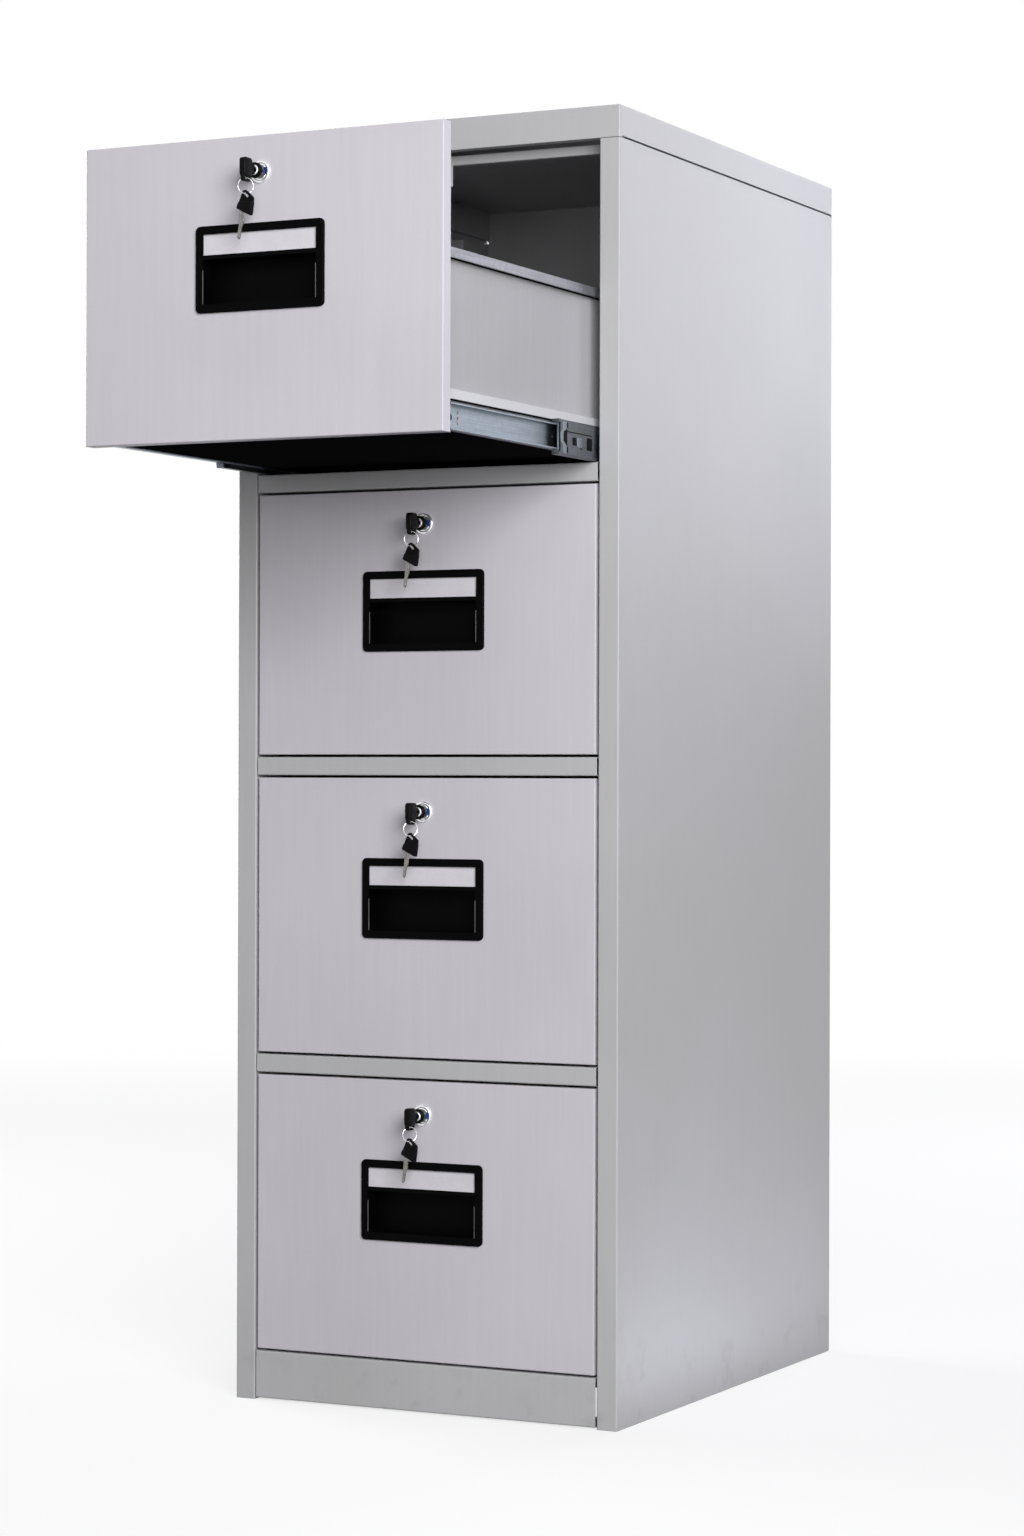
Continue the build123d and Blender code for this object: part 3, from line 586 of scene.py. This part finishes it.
# Plug with the keyway and a groove in its face, cam and cam screw
lockPlug = {
    "radius": 6.5, "front": -1.8, "back": 30.4, "keyway": (2.4, 7.9), "keywayEnd": 22.2,
    "groove": ((5.0, 0.0), (4.8, 0.15), (6.1, 0.15), (6.2, 0.0)), "frontBevel": 0.3, "steps": 72,
    "camReach": 38.5, "camHalf": 6.0, "camThick": 2.0, "camEdge": 0.25, "screwRadius": 4.0, "screwRim": 1.1,
    "screwShoulder": (3.4, 0.3), "screwCrown": 2.6, "screwHeight": 2.0, "cross": (1.5, 0.8),
    "crossDepth": 0.9, "crossTip": 1.0, "screwSteps": 32}


def lockPlugMesh(name, place):
    size = lockPlug
    halfWide, halfTall = (value / 2 for value in size["keyway"])

    def keyway(angle):
        return min(halfWide / max(abs(math.cos(angle)), 1e-6), halfTall / max(abs(math.sin(angle)), 1e-6))

    face = [(radius, size["front"] + rise) for radius, rise in size["groove"]]
    plug = latheMesh(name, [
        (0, size["keywayEnd"]), (keyway, size["keywayEnd"]), (keyway, size["front"]), *face,
        (size["radius"], size["front"] + size["frontBevel"]), (size["radius"], size["back"]),
        (0, size["back"])], place, size["steps"])
    cam = plateMesh(name + "Cam", [slotOutline((-size["camReach"], 0), (0, 0), size["camHalf"])],
                    size["camThick"], size["camEdge"],
                    facingFront(place @ shift(0, size["back"] + size["camThick"] / 2, 0)))
    cross = crossSlot(*size["cross"])
    shoulder, drop = size["screwShoulder"]
    seat = size["back"] + size["camThick"]
    top = seat + size["screwHeight"]
    screw = latheMesh(name + "Screw", [
        (0, seat), (size["screwRadius"], seat), (size["screwRadius"], seat + size["screwRim"]),
        (shoulder, top - drop), (size["screwCrown"], top), (cross, top), (cross, top - size["crossDepth"]),
        (0, top - size["crossTip"])], place, size["screwSteps"])
    return joinedMesh(name, [plug, cam, screw])


# Key in the lock: blade, steel shank, black disc with a bright ring on it, and grip with the ring's hole
keyParts = {
    "blade": (2.0, 7.5), "bladeEnd": 20.2, "bladeTaper": 2.5, "bladeEdge": 0.15, "bladeRoot": 1.0,
    "shankRadius": 4.0, "shankBack": -2.0, "shankBevel": 0.3, "shankSteps": 36, "collarWide": 1.2,
    "collarFoot": 2.4, "collarTop": 1.4, "collarRoot": 0.2, "discBack": -8.8, "discFront": -12.8,
    "discRadius": 7.5, "discBevel": 0.5, "discRim": ((0.0, 0.9), (0.3, 0.35), (0.9, 0.0)), "discSteps": 48,
    "brightRadius": 3.9, "brightWire": 1.0, "brightSteps": 12, "neckThick": 3.6, "neckTall": 9.0,
    "neckRoot": (3.0, 0.6), "neckCorner": 1.2, "neckEdge": 0.6, "gripBack": -20.0, "gripFront": -34.2,
    "gripLow": -8.7, "gripHigh": 9.5, "gripThick": 6.8, "gripCorner": 3.4, "gripEdge": 1.3,
    "lugSet": (0.4, 0.3), "lugLow": -13.0, "lugTop": -4.0, "lugThick": 4.4, "lugCorner": 3.2,
    "lugEdge": 0.7, "hole": 1.7, "holeHalf": 2.6, "holeLevel": -9.9, "holeDepth": -27.35, "holeSteps": 14}


def keyGripMesh(name, place):
    size = keyParts
    side = facingSide(place)
    back, face = size["discBack"], size["discFront"]
    radius = size["discRadius"]
    disc = latheMesh(name + "Disc", [
        (0, back), (radius - size["discBevel"], back), (radius, back - size["discBevel"]),
        *((radius - inset, face + rise) for inset, rise in size["discRim"]), (0, face)], place,
        size["discSteps"])
    halfNeck = size["neckTall"] / 2
    inGrip, inDisc = size["neckRoot"]
    neckOutline = roundedBox((size["gripBack"] - inGrip, -halfNeck), (face + inDisc, halfNeck),
                             size["neckCorner"])
    neck = plateMesh(name + "Neck", [neckOutline], size["neckThick"], size["neckEdge"], side)
    gripOutline = roundedBox((size["gripFront"], size["gripLow"]), (size["gripBack"], size["gripHigh"]),
                             size["gripCorner"])
    grip = plateMesh(name, [gripOutline], size["gripThick"], size["gripEdge"], side)
    frontSet, backSet = size["lugSet"]
    lugOutline = roundedBox((size["gripFront"] + frontSet, size["lugLow"]),
                            (size["gripBack"] - backSet, size["lugTop"]), size["lugCorner"])
    hole = slotOutline((size["holeDepth"] - size["holeHalf"], size["holeLevel"]),
                       (size["holeDepth"] + size["holeHalf"], size["holeLevel"]), size["hole"],
                       size["holeSteps"])
    lug = plateMesh(name + "Lug", [lugOutline, hole[::-1]], size["lugThick"], size["lugEdge"], side)
    return joinedMesh(name, [disc, neck, grip, lug])


def keyBladeMesh(name, place):
    size = keyParts
    thick, tall = size["blade"]
    start = size["shankBack"] - size["bladeRoot"]
    shoulder = size["bladeEnd"] - size["bladeTaper"]
    outline = [(start, -tall / 2), (shoulder, -tall / 2), (size["bladeEnd"], 0.0), (shoulder, tall / 2),
               (start, tall / 2)]
    blade = plateMesh(name, [outline], thick, size["bladeEdge"], facingSide(place))
    radius = size["shankRadius"]
    collar = radius + size["collarWide"]
    back, bevel = size["shankBack"], size["shankBevel"]
    root = size["discBack"] - size["collarRoot"]
    shank = latheMesh(name + "Shank", [
        (0, back), (radius - bevel, back), (radius, back - bevel),
        (radius, size["discBack"] + size["collarFoot"]), (collar, size["discBack"] + size["collarTop"]),
        (collar, root), (0, root)], place, size["shankSteps"])
    return joinedMesh(name, [blade, shank])


def keyBrightMesh(name, place):  # bright ring that lies on the disc's front
    size = keyParts
    profile = []
    for step in range(size["brightSteps"]):
        angle = fullTurn * step / size["brightSteps"]
        profile.append((size["brightRadius"] + size["brightWire"] * math.cos(angle),
                        size["discFront"] + size["brightWire"] * math.sin(angle)))
    return latheMesh(name, profile, place)


# Split ring of two turns of wire, and the spare key that hangs from it
ringParts = {
    "radius": 7.5, "wire": 0.42, "turns": 2, "stepsPerTurn": 40, "start": 0.6, "drop": 9.7, "turned": 45.0,
    "depth": -27.35}
spareParts = {
    "outline": ((-9.6, -13.2), (6.6, -21.5), (9.2, -4.2), (-1.4, 5.8)), "corner": 3.0, "thick": 4.4,
    "edge": 0.6, "upperThick": 2.2, "upperFrom": -7.4, "upperEdge": 0.3, "lowerCorner": 1.4,
    "panelInset": 0.28, "panelCorner": 1.0, "panelProud": 0.3, "panelEdge": 0.15, "slotFrom": (-0.7, 0.3),
    "slotTo": (2.1, -2.5), "slotHalf": 1.2, "bladeThick": 1.8, "bladeEdge": 0.15,
    "blade": ((-5.9, -12.0), (-6.2, -17.8), (-7.1, -29.5), (-8.8, -39.9), (-8.4, -41.6), (-7.4, -42.3),
        (-6.4, -41.6), (-5.9, -40.2), (-5.5, -39.0), (-5.9, -38.0), (-5.1, -36.6), (-5.4, -35.6),
        (-4.6, -34.3), (-4.9, -33.2), (-4.3, -32.0), (-4.2, -30.7), (-2.9, -28.6), (-1.9, -25.6),
        (-2.0, -22.6), (-2.9, -19.0), (-3.0, -12.0)),
    "groove": ((-7.2, -38.6), (-5.2, -18.0)), "grooveHalf": 0.45, "grooveSteps": 4, "grooveProud": 0.2,
    "grooveEdge": 0.05}


def splitRingMesh(name, place):
    size = ringParts
    steps = size["turns"] * size["stepsPerTurn"]
    points = []
    for step in range(steps + 1):
        angle = fullTurn * step / size["stepsPerTurn"] + size["start"]
        along = size["wire"] * (2 * step / steps - 1)
        points.append((size["radius"] * math.cos(angle), along, size["radius"] * math.sin(angle)))
    middle = place @ shift(0, size["depth"], -size["drop"] - size["radius"])
    turn = Matrix.Rotation(math.radians(size["turned"]), 4, "Z")
    return wireMesh(name, points, size["wire"], middle @ turn)


def hangingPlace(place):  # origin at the ring's lowest point
    return facingFront(place @ shift(0, ringParts["depth"], -ringParts["drop"] - 2 * ringParts["radius"]))


def pointAtLevel(start, end, level):
    share = (level - start[1]) / (end[1] - start[1])
    return start[0] + (end[0] - start[0]) * share, level


def spareGripMesh(name, place):
    size = spareParts
    hanging = hangingPlace(place)
    corners = size["outline"]
    slot = slotOutline(size["slotFrom"], size["slotTo"], size["slotHalf"])[::-1]
    upper = plateMesh(name, [roundedOutline(corners, size["corner"]), slot], size["upperThick"],
                      size["upperEdge"], hanging)
    lowerCorners = [corners[0], corners[1], pointAtLevel(corners[1], corners[2], size["upperFrom"]),
                    pointAtLevel(corners[0], corners[3], size["upperFrom"])]
    body = plateMesh(name + "Body", [roundedOutline(lowerCorners, size["lowerCorner"])], size["thick"],
                     size["edge"], hanging)
    centre = sum((Vector(corner) for corner in corners), Vector((0, 0))) / len(corners)
    inset = [tuple(Vector(corner).lerp(centre, size["panelInset"])) for corner in lowerCorners]
    panel = plateMesh(name + "Panel", [roundedOutline(inset, size["panelCorner"])],
                      size["thick"] + size["panelProud"], size["panelEdge"], hanging)
    return joinedMesh(name, [upper, body, panel])


def spareBladeMesh(name, place):
    size = spareParts
    hanging = hangingPlace(place)
    blade = plateMesh(name, [size["blade"]], size["bladeThick"], size["bladeEdge"], hanging)
    grooveOutline = slotOutline(*size["groove"], size["grooveHalf"], size["grooveSteps"])
    groove = plateMesh(name + "Groove", [grooveOutline], size["bladeThick"] + size["grooveProud"],
                       size["grooveEdge"], hanging)
    return joinedMesh(name, [blade, groove])


# Slides: rivets on the inner members, and the stops and clips at the middle members' front ends
slideMarks = {
    "rivetRadius": 1.4, "rivetRoot": 0.2, "rivetDome": ((1.0, 0.15), (0.8, 0.4), (0.4, 0.5)),
    "rivetSteps": 14, "rivetSet": 26.0, "rivetSpread": 5.0, "rearRivetSet": 230.0, "rivetCounts": (3, 2),
    "webSet": 6.5, "stopThick": 0.2, "stopCorner": 0.4, "stopEdge": 0.05,
    "stops": (((-0.4, -14.5), (3.2, 14.5)), ((10.5, -8.6), (18.6, 8.4)), ((17.0, -15.0), (20.5, -9.0)),
        ((17.0, 9.5), (20.5, 15.0)), ((19.0, 5.6), (76.0, 6.6)), ((31.0, -6.4), (40.5, 1.6)),
        ((64.0, -9.0), (76.0, 3.4)), ((48.0, -9.2), (53.0, -8.2))),
    "clipThick": 0.3, "clipEdge": 0.1, "stripCorner": 0.5, "stripSteps": 3,
    "strip": ((9.5, -16.0), (17.0, -16.0), (17.0, -8.2), (9.9, -3.6), (9.5, 2.0), (10.9, 6.0), (17.4, 8.5),
        (17.4, 15.5), (8.7, 15.5), (8.7, 8.0), (3.2, 5.0), (3.2, -4.0), (8.7, -9.0)),
    "lug": ((41.0, -7.6), (52.5, 2.2)), "lugCorner": 1.2}


def rivetMesh(name, side):  # head faces outwards, away from the drawer
    size = slideMarks
    radius = size["rivetRadius"]
    dome = [(radius * share, rise) for share, rise in size["rivetDome"]]
    profile = [(0, -size["rivetRoot"]), (radius, -size["rivetRoot"]), *dome, (0, dome[-1][1])]
    return latheMesh(name, profile, Matrix.Rotation(-side * math.pi / 2, 4, "Z"), size["rivetSteps"])


def slideRivets(number):
    size = slideMarks
    low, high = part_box(f"drawer_{number}_inner_slides")
    level = (low.z + high.z) / 2
    made = []
    web = high.x - size["webSet"] * mm  # outer side of the inner member's web
    frontCount, rearCount = size["rivetCounts"]
    for side in (-1, 1):
        rows = [((side * web, low.y + size["rivetSet"] * mm, level - size["rivetSpread"] * mm),
                 (side * web, low.y + size["rivetSet"] * mm, level + size["rivetSpread"] * mm), frontCount),
                ((side * web, low.y + size["rearRivetSet"] * mm, level),
                 (side * web, high.y - size["rivetSet"] * mm, level), rearCount)]
        made.append(repeatedMesh(f"rivets{number}", rivetMesh("rivetHead", side), rows, "bladeSteel"))
    return joinedMesh(f"drawer_{number}_slide_rivets", made)


def slideStops(number):
    size = slideMarks
    low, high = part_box(f"drawer_{number}_middle_slides")
    level = (low.z + high.z) / 2
    strip = roundedOutline(size["strip"], size["stripCorner"], size["stripSteps"])
    lug = roundedBox(*size["lug"], size["lugCorner"])
    stops = []
    clips = []
    for side in (-1, 1):
        face = Matrix.Translation((side * high.x, low.y, level))
        stopPlace = facingSide(face @ shift(side * size["stopThick"] / 2, 0, 0))
        clipPlace = facingSide(face @ shift(side * size["clipThick"] / 2, 0, 0))
        for corners in size["stops"]:
            outline = roundedBox(*corners, size["stopCorner"])
            stops.append(plateMesh("stop", [outline], size["stopThick"], size["stopEdge"], stopPlace))
        for outline in (strip, lug):
            clips.append(plateMesh("clip", [outline], size["clipThick"], size["clipEdge"], clipPlace))
    return (joinedMesh(f"drawer_{number}_slide_stops", stops),
            joinedMesh(f"drawer_{number}_slide_clips", clips))


# Bands on the beads of the tray walls: rails for hanging folders above, and below a ledge over the slide,
# painted lighter than the tray wall as a painted highlight on the bead.
# beadSet is how far the beads' outer faces lie in from the tray's widest flange
bandSizes = {"beadSet": 4.2, "frontSet": 6.0, "rearSet": 2.0, "corner": 0.8}
folderRail = {"tall": 9.4, "thick": 0.35, "edge": 0.1, "topSet": 0.3}
ledgeBand = {"tall": 9.2, "thick": 0.25, "edge": 0.08, "overSlide": 4.9}


def beadBandMesh(name, tray, bottom, size):
    low, high = tray
    outline = roundedBox((low.y / mm + bandSizes["frontSet"], bottom),
                         (high.y / mm - bandSizes["rearSet"], bottom + size["tall"]), bandSizes["corner"])
    across = high.x - (bandSizes["beadSet"] - size["thick"] / 2) * mm
    return joinedMesh(name, [plateMesh(name, [outline], size["thick"], size["edge"],
                                       facingSide(Matrix.Translation((side * across, 0, 0))))
                             for side in (-1, 1)])


def folderRailMesh(name, number):
    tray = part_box(f"drawer_{number}_tray")
    return beadBandMesh(name, tray, tray[1].z / mm - folderRail["topSet"] - folderRail["tall"], folderRail)


def ledgeBandMesh(name, number):
    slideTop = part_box(f"drawer_{number}_inner_slides")[1].z
    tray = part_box(f"drawer_{number}_tray")
    return beadBandMesh(name, tray, slideTop / mm + ledgeBand["overSlide"], ledgeBand)


# Painted highlights: light grey upright strips at the sides of the finger pocket, standing in for glints on
# the pocket's inner edges
pocketGlint = {
    "across": 61.7, "half": 0.35, "drop": (42.0, 74.5), "thick": 0.5, "proud": 0.05, "corner": 0.3,
    "edge": 0.1}


def pocketGlintMesh(name, number):
    size = pocketGlint
    low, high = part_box(f"drawer_{number}_handle")
    top, bottom = (high.z / mm - drop for drop in size["drop"])
    place = facingFront(Matrix.Translation((0, low.y + (size["thick"] / 2 - size["proud"]) * mm, 0)))
    made = []
    for side in (-1, 1):
        middle = side * size["across"]
        outline = roundedBox((middle - size["half"], bottom), (middle + size["half"], top), size["corner"])
        made.append(plateMesh(name, [outline], size["thick"], size["edge"], place))
    return joinedMesh(name, made)


# Each drawer's pieces: ending of the name, maker, finish, body, slot and the node that it replaces
lockPieces = (("lock_rosette", lockCaseMesh, "chromePlate", "drawer", "chrome", "lock_case"),
              ("lock_mark", lockMarkMesh, "blueEnamel", "drawer", "chrome", None),
              ("plug_and_cam", lockPlugMesh, "plugSteel", "lock", "plug_metal", "lock_plug"),
              ("key_grip", keyGripMesh, "keyPlastic", "lock", "key_plastic", "key"),
              ("key_blade", keyBladeMesh, "bladeSteel", "lock", "plug_metal", None),
              ("key_bright_ring", keyBrightMesh, "brightNickel", "lock", "plug_metal", None),
              ("split_ring", splitRingMesh, "ringWire", "ring", "wire", "key_ring"),
              ("spare_grip", spareGripMesh, "keyPlastic", "spare_key", "key_plastic", "spare_key"),
              ("spare_blade", spareBladeMesh, "bladeSteel", "spare_key", "plug_metal", None))
bandPieces = (("folder_rails", folderRailMesh, "railSteel", "zinc_slide"),
              ("ledge_bands", ledgeBandMesh, "ledgeHighlightPaint", "painted_tray"),
              ("pocket_rims", pocketGlintMesh, "glintPlastic", "black_plastic"))

for number in range(1, drawerCount + 1):
    drawer = f"drawer_{number}_"
    drawerBody = f"drawer_{number}"
    caseLow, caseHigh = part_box(drawer + "lock_case")
    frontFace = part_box(drawer + "front")[0].y
    lockPlace = Matrix.Translation((0, frontFace, (caseLow.z + caseHigh.z) / 2))
    for ending, makeMesh, finish, body, slotName, replaced in lockPieces:
        addPiece(drawer + ending, makeMesh(drawer + ending, lockPlace), finish, f"{body}_{number}",
                 [drawer + replaced] if replaced else ())
    for ending, makeMesh, finish, slotName in bandPieces:
        addPiece(drawer + ending, makeMesh(drawer + ending, number), finish, drawerBody)
    addPiece(drawer + "slide_rivets", slideRivets(number), "bladeSteel", drawerBody)
    stopMesh, clipMesh = slideStops(number)
    addPiece(drawer + "slide_stops", stopMesh, "stopPlastic", f"middle_slides_{number}")
    addPiece(drawer + "slide_clips", clipMesh, "zincPlate", f"middle_slides_{number}")
print("locks, keys and slide details made")

# Pan head screws that hold the outer slide members
slideScrew = {
    "seat": 197.5, "headRadius": 3.8, "head": ((3.8, 0.0), (3.8, 0.5), (3.2, 1.0), (2.2, 1.2)),
    "cross": (1.2, 0.6), "crossFloor": (0.5, 0.4), "shankRadius": 1.95, "shankLength": 5.0, "steps": 24,
    "perSlide": 2}


def slideScrewMesh(name, side):
    size = slideScrew
    cross = crossSlot(*size["cross"])
    rimFloor, middleFloor = size["crossFloor"]
    profile = [(0, -size["shankLength"]), (size["shankRadius"], -size["shankLength"]),
               (size["shankRadius"], 0.0), *size["head"], (cross, size["head"][-1][1]), (cross, rimFloor),
               (0, middleFloor)]
    return latheMesh(name, profile, Matrix.Rotation(side * math.pi / 2, 4, "Z"), size["steps"])


screwLow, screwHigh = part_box("slide_screws")
screwMeshes = []
for side in (-1, 1):
    rows = []
    seat = side * slideScrew["seat"] * mm
    reach = slideScrew["headRadius"] * mm
    for number in range(1, drawerCount + 1):
        low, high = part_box(f"drawer_{number}_inner_slides")
        level = (low.z + high.z) / 2
        rows.append(((seat, screwLow.y + reach, level), (seat, screwHigh.y - reach, level),
                     slideScrew["perSlide"]))
    item = slideScrewMesh("slideScrewItem", side)
    screwMeshes.append(repeatedMesh("slideScrews", item, rows, "zincPlate"))
addPiece("slide_screw_heads", joinedMesh("slide_screw_heads", screwMeshes), "zincPlate", "cabinet",
         ["slide_screws"])

# Spot welds on the rear flanges
spotWeld = {
    "radius": 2.6, "root": 0.3, "proud": 0.12, "crown": 0.85, "dish": (0.6, 0.02), "steps": 16,
    "inset": 8.0, "lowest": 60.0, "highest": 1260.0, "count": 13}


def spotWeldMesh(name):
    size = spotWeld
    radius = size["radius"]
    dish, floor = size["dish"]
    return latheMesh(name, [(0, -size["root"]), (radius, -size["root"]), (radius, 0.0),
                            (radius * size["crown"], size["proud"]), (radius * dish, floor), (0, floor)],
                     Matrix(), size["steps"])


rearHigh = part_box("side_panel_right")[1]
weldRows = []
for side in (-1, 1):
    across = side * (rearHigh.x - spotWeld["inset"] * mm)
    weldRows.append(((across, rearHigh.y, spotWeld["lowest"] * mm),
                     (across, rearHigh.y, spotWeld["highest"] * mm), spotWeld["count"]))
weldMesh = repeatedMesh("spotWelds", spotWeldMesh("spotWeldItem"), weldRows, "bodyPaint")
weldMesh.transform(shift(0, -spotWeld["proud"], 0))
addPiece("rear_spot_welds", weldMesh, "bodyPaint", "cabinet")
print("screws and welds made")

# Floor and light
studio = {
    "floorSize": 40.0, "floorColour": paintTone(236, 236, 237), "floorRough": 0.9,
    "backdropRange": (1.2, 5.0), "backdropShare": 0.72, "bounceColour": paintTone(34, 34, 35),
    "ambient": 0.07, "white": (1.0, 1.0, 1.0)}
lamps = {
    "keyLamp": {"place": (2.8, -3.4, 1.9), "aim": (0.0, -0.3, 0.9), "size": (2.0, 2.0), "power": 188.0},
    "highLamp": {"place": (1.5, -2.6, 3.2), "aim": (0.0, -0.3, 0.9), "size": (1.4, 1.4), "power": 14.0},
    "fillLamp": {"place": (1.5, -4.0, 0.9), "aim": (0.0, -0.3, 0.6), "size": (1.2, 1.2), "power": 28.0},
    "sideLamp": {"place": (1.25, 0.0, 2.4), "aim": (0.22, 0.0, 1.2), "size": (0.9, 0.9), "power": 5.0,
        "colour": (0.8, 0.8, 1.0)},
    "stripLamp": {"place": (0.36, 0.0, 0.012), "aim": (0.31, 0.0, 0.2), "size": (0.62, 0.2), "power": 0.62,
        "colour": (0.86, 0.86, 1.0)},
    "leftLamp": {"place": (-2.9, 0.5, 1.9), "aim": (-0.2, 0.0, 0.7), "size": (1.6, 1.6), "power": 70.0},
    "rearLamp": {"place": (0.4, 3.4, 1.8), "aim": (0.0, 0.29, 0.7), "size": (1.8, 1.5), "power": 60.0,
        "colour": (0.88, 0.88, 1.0)}
}
camera = {"place": (1.7436, -3.5918, 0.656), "angles": (90.1285, -0.1535, 26.436), "lens": 85.07}


def whiteForSight(tree):  # 1 for rays that see the backdrop, straight, mirrored or through glass
    path = tree.nodes.new("ShaderNodeLightPath").outputs
    mirrored = mathOf(tree, "MAXIMUM", path["Is Glossy Ray"], path["Is Transmission Ray"])
    return mathOf(tree, "MAXIMUM", path["Is Camera Ray"], mirrored)


def makeWorld():
    world = bpy.data.worlds.new("studioWorld")
    bpy.context.scene.world = world
    world.use_nodes = True
    tree = world.node_tree
    tree.nodes.clear()
    ambient = tree.nodes.new("ShaderNodeBackground")
    ambient.inputs["Color"].default_value = (*studio["white"], 1.0)
    ambient.inputs["Strength"].default_value = studio["ambient"]
    white = tree.nodes.new("ShaderNodeBackground")
    white.inputs["Color"].default_value = (*studio["white"], 1.0)
    mix = tree.nodes.new("ShaderNodeMixShader")
    tree.links.new(whiteForSight(tree), mix.inputs[0])
    tree.links.new(ambient.outputs[0], mix.inputs[1])
    tree.links.new(white.outputs[0], mix.inputs[2])
    tree.links.new(mix.outputs[0], tree.nodes.new("ShaderNodeOutputWorld").inputs["Surface"])


def makeFloor():
    mesh = bpy.data.meshes.new("floor")
    half = studio["floorSize"] / 2
    corners = [(-half, -half, 0), (half, -half, 0), (half, half, 0), (-half, half, 0)]
    mesh.from_pydata(corners, [], [(0, 1, 2, 3)])
    floor = linkedObject("floor", mesh)
    material = bpy.data.materials.new("studioFloor")
    material.use_nodes = True
    tree = material.node_tree
    shader = tree.nodes["Principled BSDF"]
    shader.inputs["Roughness"].default_value = studio["floorRough"]
    bounced = tree.nodes.new("ShaderNodeLightPath").outputs["Is Diffuse Ray"]
    colour = mixOf(tree, bounced, studio["floorColour"], studio["bounceColour"])
    tree.links.new(colour, shader.inputs["Base Color"])
    glow = tree.nodes.new("ShaderNodeEmission")
    place = tree.nodes.new("ShaderNodeTexCoord").outputs["Object"]
    reach = tree.nodes.new("ShaderNodeVectorMath")
    reach.operation = "LENGTH"
    tree.links.new(place, reach.inputs[0])
    share = rangeOf(tree, reach.outputs["Value"], *studio["backdropRange"], studio["backdropShare"], 1.0)
    mix = tree.nodes.new("ShaderNodeMixShader")
    tree.links.new(mathOf(tree, "MULTIPLY", share, whiteForSight(tree)), mix.inputs[0])
    tree.links.new(shader.outputs[0], mix.inputs[1])
    tree.links.new(glow.outputs[0], mix.inputs[2])
    tree.links.new(mix.outputs[0], tree.nodes["Material Output"].inputs["Surface"])
    mesh.materials.append(material)


def makeLamp(name, look):
    light = bpy.data.lights.new(name, "AREA")
    light.shape = "RECTANGLE"
    light.size, light.size_y = look["size"]
    light.energy = look["power"]
    light.color = look.get("colour", studio["white"])
    lamp = linkedObject(name, light)
    lamp.location = look["place"]
    lamp.rotation_euler = (Vector(look["aim"]) - Vector(look["place"])).to_track_quat("-Z", "Y").to_euler()
    lamp.visible_camera = False


def makeCamera():
    lensData = bpy.data.cameras.new("camera")
    lensData.lens = camera["lens"]
    eye = linkedObject("camera", lensData)
    eye.location = camera["place"]
    eye.rotation_euler = [math.radians(angle) for angle in camera["angles"]]
    bpy.context.scene.camera = eye


makeWorld()
makeFloor()
for lampName, lampLook in lamps.items():
    makeLamp(lampName, lampLook)
makeCamera()
bpy.context.scene.view_settings.view_transform = "Standard"
print("studio made")
